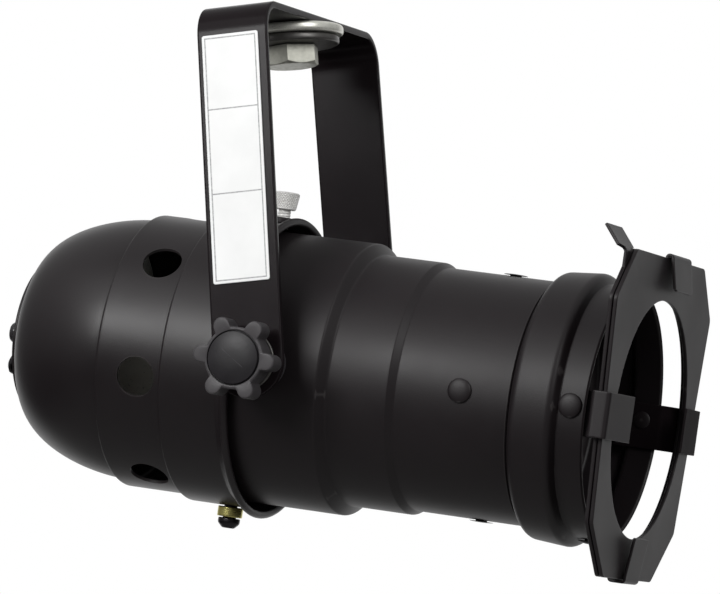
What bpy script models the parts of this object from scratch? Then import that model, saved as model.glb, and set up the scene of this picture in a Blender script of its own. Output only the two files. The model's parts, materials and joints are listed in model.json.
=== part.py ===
"""Small black par can: yoke, stepped can, rear housing, lamp and colour frame.

Row frame, metres: the origin is the hanging bolt's axis on the crossbar's top face.
X runs from the label arm (-X) to the far arm, the nose points towards -Y, +Z is up.
The can is modelled along its own axis: s is the distance in front of the tilt axis,
local Y = -s, and local Z is the can's own up direction.
"""
import math

import bmesh
import bpy
from mathutils import Matrix, Vector

MM = 0.001

# Play
SEAT = 0.3 * MM            # gap between pieces that touch
RUNNING = 0.35 * MM        # radial play of a screw in a hole

# Sheet of the can
SHEET = 0.9 * MM

# Lamp: its face is this far in front of the tilt axis
LAMP_RADIUS = 31.75 * MM
LAMP_FACE_S = 45.0 * MM
LAMP_LENGTH = 90.0 * MM
LAMP_PLAY = 0.85 * MM      # round the lamp's rim, inside the nose of the tube
LAMP_RIM = 4.0 * MM
LAMP_GLASS = 1.2 * MM
LENS_DOME = 1.9 * MM
BASE_LENGTH = 19.0 * MM
PLUG_LENGTH = 6.0 * MM     # insulator and contact behind the screw shell
NECK_RADIUS = 12.2 * MM
BASE_RADIUS = 13.1 * MM
CONTACT_RADIUS = 4.5 * MM
CONTACT_THICK = 1.2 * MM
LAMP_TIP_S = LAMP_FACE_S - LAMP_LENGTH
NECK_S = LAMP_TIP_S + PLUG_LENGTH + BASE_LENGTH

# Front tube: three diameters, the smallest round the lamp
STEP_ONE = 2.85 * MM       # drop in radius at each step
STEP_TWO = 1.25 * MM
NOSE_RADIUS = LAMP_RADIUS + LAMP_PLAY + SHEET
MIDDLE_RADIUS = NOSE_RADIUS + STEP_TWO
BODY_RADIUS = MIDDLE_RADIUS + STEP_ONE
STEP_ONE_S = 16.4 * MM
STEP_TWO_S = 35.4 * MM
STEP_LENGTH = 1.8 * MM
STEP_ROUND = 0.8 * MM
NOSE_REACH = 24.0 * MM     # tube in front of the lamp's face
TUBE_NOSE_S = LAMP_FACE_S + NOSE_REACH

# Yoke
BAR_WIDTH = 20.0 * MM
BAR_THICK = 2.0 * MM
PIVOT_DROP = 98.9 * MM     # tilt axis below the crossbar's top face
SPACER_GAP = 9.2 * MM      # between the tube and an arm at the tilt axis
ARM_SPLAY = 2.7 * MM       # an arm leans out by this from its bend to the axis
PIVOT_HALF = BODY_RADIUS + SPACER_GAP + BAR_THICK
TOP_HALF = PIVOT_HALF - ARM_SPLAY
BEND_RADIUS = 9.0 * MM     # outer radius of the two bends
TILT_DEG = 12.36           # nose down

# Label plate on the near arm
LABEL_WIDTH = 16.15 * MM
LABEL_LENGTH = 67.7 * MM
LABEL_THICK = 0.4 * MM
LABEL_TOP = 10.0 * MM      # below the crossbar's top face
LABEL_ASIDE = 0.4 * MM
LABEL_CORNER = 0.6 * MM

# Hanging bolt and its two washers
BOLT_RADIUS = 5.0 * MM
BOLT_ACROSS = 14.2 * MM    # across the flats of the head
BOLT_HEAD = 5.3 * MM
BOLT_STICKS_OUT = 1.2 * MM
BOLT_TURN_DEG = 13.4
ZINC_RADIUS = 15.0 * MM
ZINC_THICK = 2.5 * MM
DARK_RADIUS = 13.7 * MM
DARK_THICK = 2.1 * MM

# Front bezel: sleeve in the tube, bulge, short front ring
SLEEVE_LENGTH = 19.0 * MM
BULGE_HIGH = 3.7 * MM      # top of the bulge outside the tube
BULGE_START = 0.6 * MM     # the bulge starts this far outside the tube
BULGE_LEAD = 0.5 * MM
BULGE_LENGTH = 14.6 * MM
BULGE_POWER = 0.55
RING_HIGH = 1.1 * MM
RING_LENGTH = 7.2 * MM
RING_ROUND = 0.8 * MM
BULGE_RADIUS = NOSE_RADIUS + BULGE_HIGH
RING_RADIUS = NOSE_RADIUS + RING_HIGH
SHOULDER_S = TUBE_NOSE_S + SEAT
RING_FRONT_S = SHOULDER_S + BULGE_LENGTH + RING_LENGTH

# Rivets
RIVET_HEAD_RADIUS = 3.3 * MM
RIVET_HEAD = 0.9 * MM
RIVET_RADIUS = 1.6 * MM
TUBE_RIVET_BACK = 13.7 * MM    # behind the tube's nose end
CLIP_RIVET_BACK = 4.3 * MM     # behind the front ring's edge
TUBE_RIVET_S = TUBE_NOSE_S - TUBE_RIVET_BACK
CLIP_RIVET_S = RING_FRONT_S - CLIP_RIVET_BACK
TUBE_RIVETS = {0: "far", 90: "top", 180: "near", 270: "bottom"}
CLIP_RIVETS = {0: "far", 180: "near", 270: "bottom"}

# Clips and colour frame
CLIP_WIDTH = 12.4 * MM
CLIP_THICK = 0.8 * MM
CLIP_LEG = 12.6 * MM       # leg inside the ring
CLIP_SHIFT = -1.5 * MM     # side clips sit this much off the axis
CLIP_REST = 0.3 * MM       # play between a clip's web or lip and the frame
CLIP_CORNER = 0.8 * MM
CLIP_AHEAD = 1.0 * MM      # straight part in front of the ring's edge
CLIP_JOG = 1.8 * MM        # step outwards behind the frame
SIDE_CLIP_PLAY = 0.45 * MM
SIDE_LIP = 18.0 * MM
BOTTOM_LIP = 10.0 * MM
LIP_FLARE = 1.3 * MM
PLATE_THICK = 1.05 * MM
FRAME_AHEAD = 5.1 * MM     # frame's rear face in front of the ring's edge
FRAME_REAR_S = RING_FRONT_S + FRAME_AHEAD
FRAME_HOLE_LESS = 2.9 * MM     # hole radius less than the ring's
FRAME_HOLE_RADIUS = RING_RADIUS - FRAME_HOLE_LESS
FRAME_HOLE_UP = 2.0 * MM
# Corners of the frame: how far each lies outside the ring's radius, or inside it
FRAME_TOP_OVER = 8.9 * MM
FRAME_BOTTOM_OVER = 9.2 * MM
FRAME_SHOULDER_LESS = 4.6 * MM
FRAME_TOP_LESS = 2.6 * MM
FRAME_SHOULDER_OVER = 9.7 * MM
FRAME_WAIST_OVER = 3.4 * MM
FRAME_BOTTOM_LESS = 12.6 * MM
FRAME_TOP_UP = RING_RADIUS + FRAME_TOP_OVER
FRAME_BOTTOM_UP = -RING_RADIUS - FRAME_BOTTOM_OVER
FRAME_SHOULDER_UP = RING_RADIUS - FRAME_SHOULDER_LESS
FRAME_TOP_HALF = RING_RADIUS - FRAME_TOP_LESS
FRAME_SHOULDER_HALF = RING_RADIUS + FRAME_SHOULDER_OVER
FRAME_WAIST_HALF = RING_RADIUS + FRAME_WAIST_OVER
FRAME_BOTTOM_HALF = RING_RADIUS - FRAME_BOTTOM_LESS
TAB_WIDTH = 16.0 * MM      # folded tab on the frame's top edge
TAB_LIP = 9.5 * MM
TAB_FLARE = 1.6 * MM
TAB_FOLD = 1.3 * MM        # fold's centre line in front of the plate
TAB_ROOT = 1.5 * MM        # part of the tab that lies in the plate
TAB_ASIDE = -0.5 * MM
TAB_THICK = 0.84 * MM
HANDLE_WIDTH = 13.5 * MM
HANDLE_LENGTH = 7.2 * MM
HANDLE_STEM = 6.5 * MM
HANDLE_STEM_WIDTH = 5.0 * MM
HANDLE_ROOT = 6.0 * MM     # stem starts this far below the frame's top
HANDLE_THICK = 0.88 * MM
HANDLE_NECK = 0.9 * MM     # straight part on each side of the bend
HANDLE_WIDEN = 1.2 * MM
HANDLE_EASE = 0.6 * MM     # leaf set back by the bend
HANDLE_BEND_DEG = 39.0
HANDLE_X = -34.5 * MM

# Lampholder
HOLDER_RADIUS = 19.0 * MM
HOLDER_BORE = 14.6 * MM
HOLDER_LEAD = 4.0 * MM     # lamp's neck in front of the holder
SPRING_ROOM = 5.0 * MM     # holder's floor behind the lamp's tip
HOLDER_FLOOR = 10.0 * MM   # thickness of that floor
HOLDER_FRONT_S = NECK_S - HOLDER_LEAD
HOLDER_FLOOR_S = LAMP_TIP_S - SPRING_ROOM
HOLDER_REAR_S = HOLDER_FLOOR_S - HOLDER_FLOOR
HOLDER_CHAMFER = 1.0 * MM
SHELL_THICK = 0.5 * MM
SHELL_SETBACK = 2.0 * MM   # brass shell behind the holder's front
SHELL_CLEAR = 3.0 * MM     # and in front of its floor
SPRING_WIDTH = 4.0 * MM
SPRING_THICK = 0.6 * MM
SPRING_FOOT = 9.0 * MM
HOLDER_PLATE_THICK = 1.2 * MM
HOLDER_PLATE_PLAY = 1.0 * MM
HOLDER_SCREW_OUT = 10.0 * MM
HOLDER_SCREW_LONG = 4.5 * MM
EARTH_SCREW_LONG = 3.0 * MM
PLATE_SCREW_LONG = 4.0 * MM
SMALL_SCREW = 1.5 * MM
SMALL_HEAD = 2.8 * MM
SMALL_HEAD_HIGH = 1.6 * MM

# Rear housing, its collar round the tube's rear end
REAR_ROOM = 19.4 * MM      # behind the holder, for the leads
COLLAR_PLAY = 0.95 * MM
BAND_STEP = 1.45 * MM      # steps in radius from collar to band and from band to dome
DOME_STEP = 1.7 * MM
RIM_FLARE = 2.35 * MM
DOME_REAR_S = HOLDER_REAR_S - REAR_ROOM
DOME_MOUTH = 15.5 * MM     # hole behind the back plate
DOME_FLAT = 20.5 * MM      # flat ring round that hole
DOME_END_S = -48.0 * MM
DOME_LEAD = 1.5 * MM       # straight part behind the band
DOME_POWER = 1.15
BAND_END_S = -28.8 * MM
SHELL_ROUND = 0.6 * MM
COLLAR_RADIUS = BODY_RADIUS + COLLAR_PLAY + SHEET
BAND_RADIUS = COLLAR_RADIUS - BAND_STEP
DOME_RADIUS = BAND_RADIUS - DOME_STEP
RIM_RADIUS = COLLAR_RADIUS + RIM_FLARE
RIM_S = -8.9 * MM          # centre of the rolled rim
RIM_BEAD = 1.1 * MM
RIM_LEAD = 2.4 * MM
TUBE_STOP = 1.2 * MM       # tube's rear end in front of the collar's step
TUBE_REAR_S = BAND_END_S + TUBE_STOP
VENT_COUNT = 7
VENT_RADIUS = 5.5 * MM
VENT_AHEAD = 2.2 * MM      # in front of the band's middle
VENT_S = (DOME_END_S + BAND_END_S) / 2 + VENT_AHEAD
VENT_FIRST_DEG = 192.5

# Back plate and cable gland
BACK_PLATE_OVER = 0.7 * MM     # plate outside the dome's flat ring
BACK_PLATE_RADIUS = DOME_FLAT + BACK_PLATE_OVER
BACK_PLATE_THICK = 1.0 * MM
BACK_PLATE_ROUND = 0.4 * MM
GLAND_BORE = 2.3 * MM
GLAND_THREAD = 3.8 * MM
GLAND_FLANGE = 6.8 * MM
GLAND_FLANGE_THICK = 1.8 * MM
GLAND_NECK = 4.6 * MM
GLAND_SLOPE = 1.6 * MM
GLAND_TIP = 3.3 * MM
GLAND_LIP = 0.2 * MM
GLAND_LENGTH = 10.2 * MM
GLAND_NUT_ACROSS = 13.0 * MM
GLAND_NUT_THICK = 2.6 * MM
GLAND_THREAD_SPARE = 1.0 * MM
PLATE_SCREW_IN = 2.2 * MM      # screws inside the flat ring's edge
PLATE_SCREW_RING = DOME_FLAT - PLATE_SCREW_IN
PLATE_SCREW_DEG = (30, 210)

# Screws through the collar
THUMB_S = -14.2 * MM
THUMB_SHANK = 1.85 * MM
THUMB_NECK = 2.2 * MM      # shank between boss and head
THUMB_HEAD = 4.9 * MM
THUMB_HEAD_LOW = 3.2 * MM
THUMB_HEAD_HIGH = 3.75 * MM
THUMB_ROUND = 0.3 * MM
BOSS_RADIUS = 3.0 * MM
BOSS_HIGH = 2.05 * MM
BOSS_ROUND = 0.4 * MM
BOSS_TOP_UP = COLLAR_RADIUS + BOSS_HIGH
THUMB_NECK_UP = BOSS_TOP_UP + THUMB_NECK
BOTTOM_SCREW_S = -17.5 * MM
BOTTOM_SHANK = 1.85 * MM
STANDOFF_RADIUS = 3.5 * MM
STANDOFF_HIGH = 2.8 * MM
BOTTOM_HEAD_RADIUS = 3.05 * MM
BOTTOM_HEAD = 2.8 * MM

# Tilt pivots and star knobs
STUD_RADIUS = 3.0 * MM
SPACER_RADIUS = 7.0 * MM
KNOB_WASHER_RADIUS = 8.0 * MM
KNOB_WASHER_THICK = 1.0 * MM
PIVOT_NUT_RADIUS = 6.0 * MM
PIVOT_NUT_THICK = 3.0 * MM
STUD_SHORT = 0.2 * MM      # stud's end inside the nut's face
KNOB_HIGH = 10.35 * MM
KNOB_HUB_RADIUS = 7.6 * MM
KNOB_HUB = 2.2 * MM
KNOB_EDGE = 0.9 * MM
KNOB_WAIST = 8.4 * MM      # radius between the lobes
KNOB_TIP = 11.3 * MM
KNOB_CAP_RADIUS = 7.1 * MM
KNOB_CAP = 1.3 * MM
KNOB_LOBES = 6
KNOB_LOBE_WIDTH_DEG = 30.0
KNOB_TURN_DEG = 25.5
KNOB_SOCKET = 6.5 * MM

# Terminal block and wires
BLOCK_WIDTH = 22.0 * MM
BLOCK_DEPTH = 8.0 * MM
BLOCK_HIGH = 10.0 * MM
BLOCK_UP = 11.0 * MM
BLOCK_POSTS = 3
WIRE_RADIUS = 0.9 * MM
WIRE_HOLE = 5.0 * MM
WIRE_IN_BLOCK = 1.5 * MM
WIRE_STRAIGHT = 2.0 * MM
WIRE_APART = 1.5 * MM
EARTH_SCREW_OUT = 24.0 * MM
EARTH_BOW = 9.0 * MM       # earth lead's bow behind the plate, and to the side
EARTH_ASIDE = 5.0 * MM

# Facets
BIG_STEPS = 40
MID_STEPS = 24
SMALL_STEPS = 12
KNOB_STEPS = 48
DOME_STEPS = 7
END_STEPS = 8
BEND_STEPS = 6


# Scene and materials

def clearScene():
    """Remove every object, so the script can be run again."""
    for item in list(bpy.data.objects):
        bpy.data.objects.remove(item, do_unlink=True)


def material(name, colour, roughness, metallic):
    """One Principled material."""
    mat = bpy.data.materials.new(name)
    mat.use_nodes = True
    shader = mat.node_tree.nodes["Principled BSDF"]
    shader.inputs["Base Color"].default_value = (*colour, 1.0)
    shader.inputs["Roughness"].default_value = roughness
    shader.inputs["Metallic"].default_value = metallic
    mat.diffuse_color = (*colour, 1.0)
    return mat


def makeMaterials():
    """The finishes seen on the lantern."""
    return {
        "black_paint": material("black_paint", (0.012, 0.011, 0.012), 0.45, 0.0),
        "black_plastic": material("black_plastic", (0.014, 0.013, 0.015), 0.38, 0.0),
        "gland_plastic": material("gland_plastic", (0.008, 0.008, 0.009), 0.2, 0.0),
        "white_label": material("white_label", (0.85, 0.85, 0.83), 0.5, 0.0),
        "nickel": material("nickel", (0.72, 0.71, 0.68), 0.25, 1.0),
        "zinc": material("zinc", (0.55, 0.56, 0.56), 0.35, 1.0),
        "yellow_zinc": material("yellow_zinc", (0.62, 0.58, 0.28), 0.35, 1.0),
        "dark_steel": material("dark_steel", (0.05, 0.05, 0.05), 0.4, 1.0),
        "nylon": material("nylon", (0.02, 0.02, 0.02), 0.5, 0.0),
        "reflector": material("reflector", (0.8, 0.8, 0.8), 0.15, 1.0),
        "lens_glass": material("lens_glass", (0.85, 0.88, 0.88), 0.1, 0.0),
        "brass": material("brass", (0.75, 0.56, 0.24), 0.3, 1.0),
        "porcelain": material("porcelain", (0.8, 0.78, 0.72), 0.3, 0.0),
        "live_wire": material("live_wire", (0.25, 0.08, 0.03), 0.5, 0.0),
        "neutral_wire": material("neutral_wire", (0.03, 0.1, 0.35), 0.5, 0.0),
        "earth_wire": material("earth_wire", (0.2, 0.4, 0.05), 0.5, 0.0),
    }


def addEmpty(name, location, turn=(0.0, 0.0, 0.0), parent=None):
    """A guide for an axis: it carries pieces and isn't one itself."""
    guide = bpy.data.objects.new(name, None)
    guide.empty_display_size = 0.02
    guide.location = location
    guide.rotation_euler = turn
    guide.parent = parent
    bpy.context.collection.objects.link(guide)
    return guide


def addObject(name, mesh, finish, parent=None, location=(0, 0, 0), turn=(0, 0, 0)):
    """Link one piece, give it its finish and shade its round faces smooth."""
    piece = bpy.data.objects.new(name, mesh)
    piece.location = location
    piece.rotation_euler = turn
    piece.parent = parent
    bpy.context.collection.objects.link(piece)
    if finish is not None:
        mesh.materials.clear()
        mesh.materials.append(finish)
        mesh.shade_smooth()
        mesh.set_sharp_from_angle(angle=math.radians(35))
    return piece


def meshFrom(bm, name):
    """Close a bmesh into a mesh with its faces pointing out."""
    bmesh.ops.remove_doubles(bm, verts=bm.verts, dist=1e-7)
    bmesh.ops.recalc_face_normals(bm, faces=bm.faces)
    mesh = bpy.data.meshes.new(name)
    bm.to_mesh(mesh)
    bm.free()
    return mesh


# Shapes

def turned(outline, steps, closed=True):
    """Spin an outline of (s, r) points about the can's axis, local Y = -s.

    A closed outline is a ring; an open one starts and ends on the axis."""
    bm = bmesh.new()
    verts = [bm.verts.new((r, -s, 0.0)) for s, r in outline]
    pairs = list(zip(verts, verts[1:]))
    if closed:
        pairs.append((verts[-1], verts[0]))
    edges = [bm.edges.new(pair) for pair in pairs]
    bmesh.ops.spin(bm, geom=verts + edges, cent=(0, 0, 0), axis=(0, 1, 0),
                   angle=math.tau, steps=steps, use_duplicate=False)
    return meshFrom(bm, "turned")


def turnedUp(outline, steps, closed=True):
    """Spin an outline of (z, r) points about local Z, for screws and washers."""
    mesh = turned([(-z, r) for z, r in outline], steps, closed)
    mesh.transform(Matrix.Rotation(math.pi / 2, 4, "X"))
    return mesh


def prism(points, low, high, axis="Y"):
    """Extrude a flat outline between two levels along Y or Z."""
    bm = bmesh.new()
    if axis == "Y":
        verts = [bm.verts.new((x, low, z)) for x, z in points]
        move = Vector((0, high - low, 0))
    else:
        verts = [bm.verts.new((x, y, low)) for x, y in points]
        move = Vector((0, 0, high - low))
    face = bm.faces.new(verts)
    grown = bmesh.ops.extrude_face_region(bm, geom=[face])
    new = [item for item in grown["geom"] if isinstance(item, bmesh.types.BMVert)]
    bmesh.ops.translate(bm, verts=new, vec=move)
    return meshFrom(bm, "prism")


def standingStrip(outline, width):
    """Extrude an outline of (-s, distance) points across X, so distance points up."""
    mesh = prism(outline, -width / 2, width / 2, axis="Z")
    mesh.transform(Matrix(((0, 0, 1, 0), (1, 0, 0, 0), (0, 1, 0, 0), (0, 0, 0, 1))))
    return mesh


def wallRows(bm, rows):
    """Join loops of vertices with faces, each loop to the next."""
    for row, after in zip(rows, rows[1:]):
        count = len(row)
        for k in range(count):
            bm.faces.new((row[k], row[(k + 1) % count], after[(k + 1) % count], after[k]))


def ring(low, high, bore, radius, steps=MID_STEPS):
    """A flat ring between two levels on local Z."""
    return turnedUp([(low, bore), (low, radius), (high, radius), (high, bore)], steps)


def rod(low, high, radius, steps=MID_STEPS):
    """A plain round bar between two levels on local Z."""
    return turnedUp([(low, 0), (low, radius), (high, radius), (high, 0)], steps, closed=False)


def hexagon(across, low, high):
    """A hexagonal bar between two levels on local Z, its flats this far apart."""
    radius = across / 2 / math.cos(math.pi / 6)
    corners = [math.tau * k / 6 for k in range(6)]
    return prism([(radius * math.cos(turn), radius * math.sin(turn)) for turn in corners],
                 low, high, axis="Z")


def arc(centre, radius, start, end, steps):
    """Points on a circular arc, angles in degrees."""
    points = []
    for k in range(steps + 1):
        angle = math.radians(start + (end - start) * k / steps)
        points.append((centre[0] + radius * math.cos(angle), centre[1] + radius * math.sin(angle)))
    return points


def offsetLine(points, distance):
    """Move an open line of points sideways (to its right) by a distance, mitred at each corner."""
    moved = []
    for k, point in enumerate(points):
        here = Vector(point)
        sides = []
        if k > 0:
            sides.append((here - Vector(points[k - 1])).normalized())
        if k < len(points) - 1:
            sides.append((Vector(points[k + 1]) - here).normalized())
        normals = [Vector((side.y, -side.x)) for side in sides]
        middle = sum(normals, Vector((0, 0))).normalized()
        reach = distance / max(middle.dot(normals[0]), 0.5)
        moved.append(tuple(here + middle * reach))
    return moved


def strip(points, thickness):
    """Closed outline of a sheet bent along an open centre line."""
    left = offsetLine(points, -thickness / 2)
    right = offsetLine(points, thickness / 2)
    return left + right[::-1]


def drill(piece, point, direction, radius, length, steps=SMALL_STEPS, parent=None):
    """Cut a round hole centred on a point, along a direction."""
    mesh = rod(-length / 2, length / 2, radius, steps)
    cutter = addObject(piece.name + "_cutter", mesh, None, parent, point)
    cutter.rotation_mode = "QUATERNION"
    cutter.rotation_quaternion = Vector((0, 0, 1)).rotation_difference(Vector(direction))
    cutter.hide_render = True
    cutter.display_type = "WIRE"
    cut = piece.modifiers.new("hole", "BOOLEAN")
    cut.operation = "DIFFERENCE"
    cut.solver = "EXACT"
    cut.object = cutter


def join(piece, tool):
    """Weld a second closed shape onto a piece."""
    tool.hide_render = True
    tool.display_type = "WIRE"
    weld = piece.modifiers.new("weld", "BOOLEAN")
    weld.operation = "UNION"
    weld.solver = "EXACT"
    weld.object = tool


def radial(s, radius, degrees):
    """A point in the can's frame at station s, out at an angle from +X towards the can's up."""
    angle = math.radians(degrees)
    return Vector((radius * math.cos(angle), -s, radius * math.sin(angle)))


def outward(degrees):
    """Unit direction out of the can at an angle."""
    return radial(0.0, 1.0, degrees)


def standTo(degrees):
    """Rotation that turns a piece made along local Z to point out of the can."""
    return (0.0, math.radians(90.0 - degrees), 0.0)




# Yoke

def armLean():
    """Angle by which an arm splays outwards."""
    return math.atan2(ARM_SPLAY, PIVOT_DROP - BEND_RADIUS)


def yokeStations():
    """Outer face of the bar in X and Z, from one arm's end to the other.

    Each entry is (x, z, half width)."""
    half = BAR_WIDTH / 2
    lean = armLean()
    down = Vector((math.sin(lean), -math.cos(lean)))
    pivot = Vector((PIVOT_HALF, -PIVOT_DROP))
    side = []
    for k in range(END_STEPS + 1):
        angle = math.radians(90 - 90 * k / END_STEPS)
        point = pivot + down * half * math.sin(angle)
        side.append((point.x, point.y, half * math.cos(angle)))
    side.append((TOP_HALF, -BEND_RADIUS, half))
    for k in range(1, BEND_STEPS + 1):
        angle = math.radians(90 * k / BEND_STEPS)
        side.append((TOP_HALF - BEND_RADIUS * (1 - math.cos(angle)),
                     -BEND_RADIUS * (1 - math.sin(angle)), half))
    return side + [(-x, z, width) for x, z, width in side[::-1]]


def makeYoke(finish):
    """Flat bar bent to a U with round arm ends and three holes."""
    stations = yokeStations()
    inner = offsetLine([(x, z) for x, z, width in stations], -BAR_THICK)
    bm = bmesh.new()
    rows = []
    for (x, z, width), (xi, zi) in zip(stations, inner):
        corners = ((x, -width, z), (x, width, z), (xi, width, zi), (xi, -width, zi))
        rows.append([bm.verts.new(corner) for corner in corners])
    wallRows(bm, rows)
    yoke = addObject("yoke", meshFrom(bm, "yoke"), finish)
    through = 8 * BAR_THICK
    drill(yoke, (0, 0, 0), (0, 0, 1), BOLT_RADIUS + RUNNING, through, MID_STEPS)
    for side in (-1, 1):
        centre = (side * PIVOT_HALF, 0, -PIVOT_DROP)
        drill(yoke, centre, (1, 0, 0), STUD_RADIUS + RUNNING, through, MID_STEPS)


def makeLabel(finish):
    """Plain plate glued on the near arm, parallel to the splayed arm."""
    middle = -LABEL_TOP - LABEL_LENGTH / 2
    out = TOP_HALF + (-middle - BEND_RADIUS) * math.tan(armLean()) + SEAT
    points = []
    for sx, sz, start in ((1, 1, 0), (-1, 1, 90), (-1, -1, 180), (1, -1, 270)):
        centre = (sx * (LABEL_WIDTH / 2 - LABEL_CORNER), sz * (LABEL_LENGTH / 2 - LABEL_CORNER))
        points += arc(centre, LABEL_CORNER, start, start + 90, 3)
    mesh = prism(points, 0.0, LABEL_THICK)
    addObject("label_plate", mesh, finish, None, (-out, LABEL_ASIDE, middle),
              (armLean(), 0, math.pi / 2))


def makeHangingBolt(mats):
    """Two washers under the crossbar and the bolt through them."""
    bore = BOLT_RADIUS + RUNNING
    zincLow = -BAR_THICK - SEAT - ZINC_THICK
    darkLow = zincLow - SEAT - DARK_THICK
    headTop = darkLow - SEAT
    zinc = ring(0, ZINC_THICK, bore, ZINC_RADIUS)
    addObject("zinc_washer", zinc, mats["zinc"], None, (0, 0, zincLow))
    dark = ring(0, DARK_THICK, bore, DARK_RADIUS)
    addObject("dark_washer", dark, mats["dark_steel"], None, (0, 0, darkLow))
    bolt = addObject("hanging_bolt", hexagon(BOLT_ACROSS, -BOLT_HEAD, 0), mats["zinc"], None,
                     (0, 0, headTop), (0, 0, math.radians(BOLT_TURN_DEG)))
    shank = rod(-BOLT_HEAD / 2, BOLT_STICKS_OUT - headTop, BOLT_RADIUS)
    join(bolt, addObject("hanging_bolt_shank", shank, None, None, (0, 0, headTop)))


# Front tube and bezel

def makeFrontTube(can, finish):
    """Tube stepped down twice towards the nose."""
    outer = [(TUBE_REAR_S, BODY_RADIUS), (STEP_ONE_S - STEP_ROUND, BODY_RADIUS),
             (STEP_ONE_S, BODY_RADIUS - STEP_ROUND / 2),
             (STEP_ONE_S + STEP_LENGTH, MIDDLE_RADIUS), (STEP_TWO_S, MIDDLE_RADIUS),
             (STEP_TWO_S + STEP_LENGTH, NOSE_RADIUS), (TUBE_NOSE_S, NOSE_RADIUS)]
    inner = offsetLine(outer, SHEET)
    tube = addObject("front_tube", turned(outer + inner[::-1], BIG_STEPS), finish, can)
    for degrees in TUBE_RIVETS:
        drill(tube, radial(TUBE_RIVET_S, NOSE_RADIUS, degrees), outward(degrees),
              RIVET_RADIUS + RUNNING, 4 * SHEET, SMALL_STEPS, can)
    for degrees in (0, 180):
        drill(tube, radial(0, BODY_RADIUS, degrees), outward(degrees), STUD_RADIUS + RUNNING,
              4 * SHEET, MID_STEPS, can)


def bezelOutline():
    """Sleeve, shoulder, bulge and front ring as one bent sheet, outer line from the rear."""
    sleeve = NOSE_RADIUS - SHEET - SEAT
    foot = NOSE_RADIUS + BULGE_START
    start = SHOULDER_S + BULGE_LEAD
    outer = [(TUBE_NOSE_S - SLEEVE_LENGTH, sleeve), (SHOULDER_S, sleeve), (start, foot)]
    for part in (0.1, 0.25, 0.5, 0.75, 0.9):
        rise = math.sin(math.pi * part) ** BULGE_POWER
        low = foot + (RING_RADIUS - foot) * part
        outer.append((start + (BULGE_LENGTH - BULGE_LEAD) * part,
                      low + (BULGE_RADIUS - low) * rise))
    outer += [(SHOULDER_S + BULGE_LENGTH, RING_RADIUS), (RING_FRONT_S - RING_ROUND, RING_RADIUS)]
    inner = offsetLine(outer, SHEET)
    return outer + [(RING_FRONT_S, RING_RADIUS - SHEET / 2)] + inner[::-1]


def makeBezel(can, finish):
    """Bulged nose ring with its sleeve inside the tube."""
    bezel = addObject("front_bezel", turned(bezelOutline(), BIG_STEPS), finish, can)
    for degrees in TUBE_RIVETS:
        drill(bezel, radial(TUBE_RIVET_S, NOSE_RADIUS - 1.5 * SHEET, degrees), outward(degrees),
              RIVET_RADIUS + RUNNING, 4 * SHEET, SMALL_STEPS, can)
    for degrees in CLIP_RIVETS:
        drill(bezel, radial(CLIP_RIVET_S, RING_RADIUS, degrees), outward(degrees),
              RIVET_RADIUS + RUNNING, 4 * SHEET, SMALL_STEPS, can)


def rivetMesh(depth):
    """Domed head on local Z = 0 with a shank reaching down."""
    outline = [(-depth, 0), (-depth, RIVET_RADIUS), (0, RIVET_RADIUS), (0, RIVET_HEAD_RADIUS),
               (0.45 * RIVET_HEAD, 0.88 * RIVET_HEAD_RADIUS),
               (0.8 * RIVET_HEAD, 0.6 * RIVET_HEAD_RADIUS), (RIVET_HEAD, 0)]
    return turnedUp(outline, SMALL_STEPS, closed=False)


def clipLegRadius():
    """Centre line of a flat clip leg that lies inside the round front ring."""
    inside = (RING_RADIUS - SHEET) * math.cos(math.pi / BIG_STEPS)
    half = CLIP_WIDTH / 2 + abs(CLIP_SHIFT)
    return math.sqrt(inside ** 2 - half ** 2) - SEAT - CLIP_THICK / 2


def makeRivets(can, finish):
    """Four rivets through tube and sleeve, three through ring and clip leg."""
    depth = 2 * SHEET + 3 * SEAT
    for degrees, name in TUBE_RIVETS.items():
        addObject("tube_rivet_" + name, rivetMesh(depth), finish, can,
                  radial(TUBE_RIVET_S, NOSE_RADIUS + SEAT, degrees), standTo(degrees))
    depth = RING_RADIUS - clipLegRadius() + CLIP_THICK / 2 + 2 * SEAT
    for degrees, name in CLIP_RIVETS.items():
        addObject("clip_rivet_" + name, rivetMesh(depth), finish, can,
                  radial(CLIP_RIVET_S, RING_RADIUS + SEAT, degrees), standTo(degrees))


# Clips and colour frame

def sideClipOut():
    """Centre line of a side clip's web: outside the slanted frame edge at the clip's top."""
    up = CLIP_SHIFT + CLIP_WIDTH / 2
    share = (up + FRAME_SHOULDER_UP) / (2 * FRAME_SHOULDER_UP)
    edge = FRAME_WAIST_HALF + (FRAME_SHOULDER_HALF - FRAME_WAIST_HALF) * share
    return edge + CLIP_THICK / 2 + SIDE_CLIP_PLAY


def clipPath(out, lip):
    """Centre line of a clip in (s, distance from the axis)."""
    leg = clipLegRadius()
    ringEnd = RING_FRONT_S + CLIP_AHEAD
    behind = FRAME_REAR_S - SEAT - CLIP_THICK / 2 - CLIP_REST
    front = FRAME_REAR_S + 2 * (PLATE_THICK + SEAT) + CLIP_REST + CLIP_THICK / 2
    corner = CLIP_CORNER
    return [(ringEnd - CLIP_LEG, leg), (ringEnd, leg), (behind - CLIP_AHEAD / 2, leg + CLIP_JOG),
            (behind, leg + 2.5 * CLIP_JOG), (behind, out - corner), (behind + corner, out),
            (front - corner, out), (front, out - corner), (front, out - 2.5 * corner),
            (front + LIP_FLARE, out - lip)]


def makeClips(can, finish):
    """Three bent straps: near side, far side and below."""
    bottomOut = -FRAME_BOTTOM_UP + CLIP_THICK / 2 + CLIP_REST
    side = (sideClipOut(), SIDE_LIP, CLIP_SHIFT)
    makeClip("near", 180, *side, can, finish)
    makeClip("far", 0, *side, can, finish)
    makeClip("bottom", 270, bottomOut, BOTTOM_LIP, 0.0, can, finish)


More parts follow.
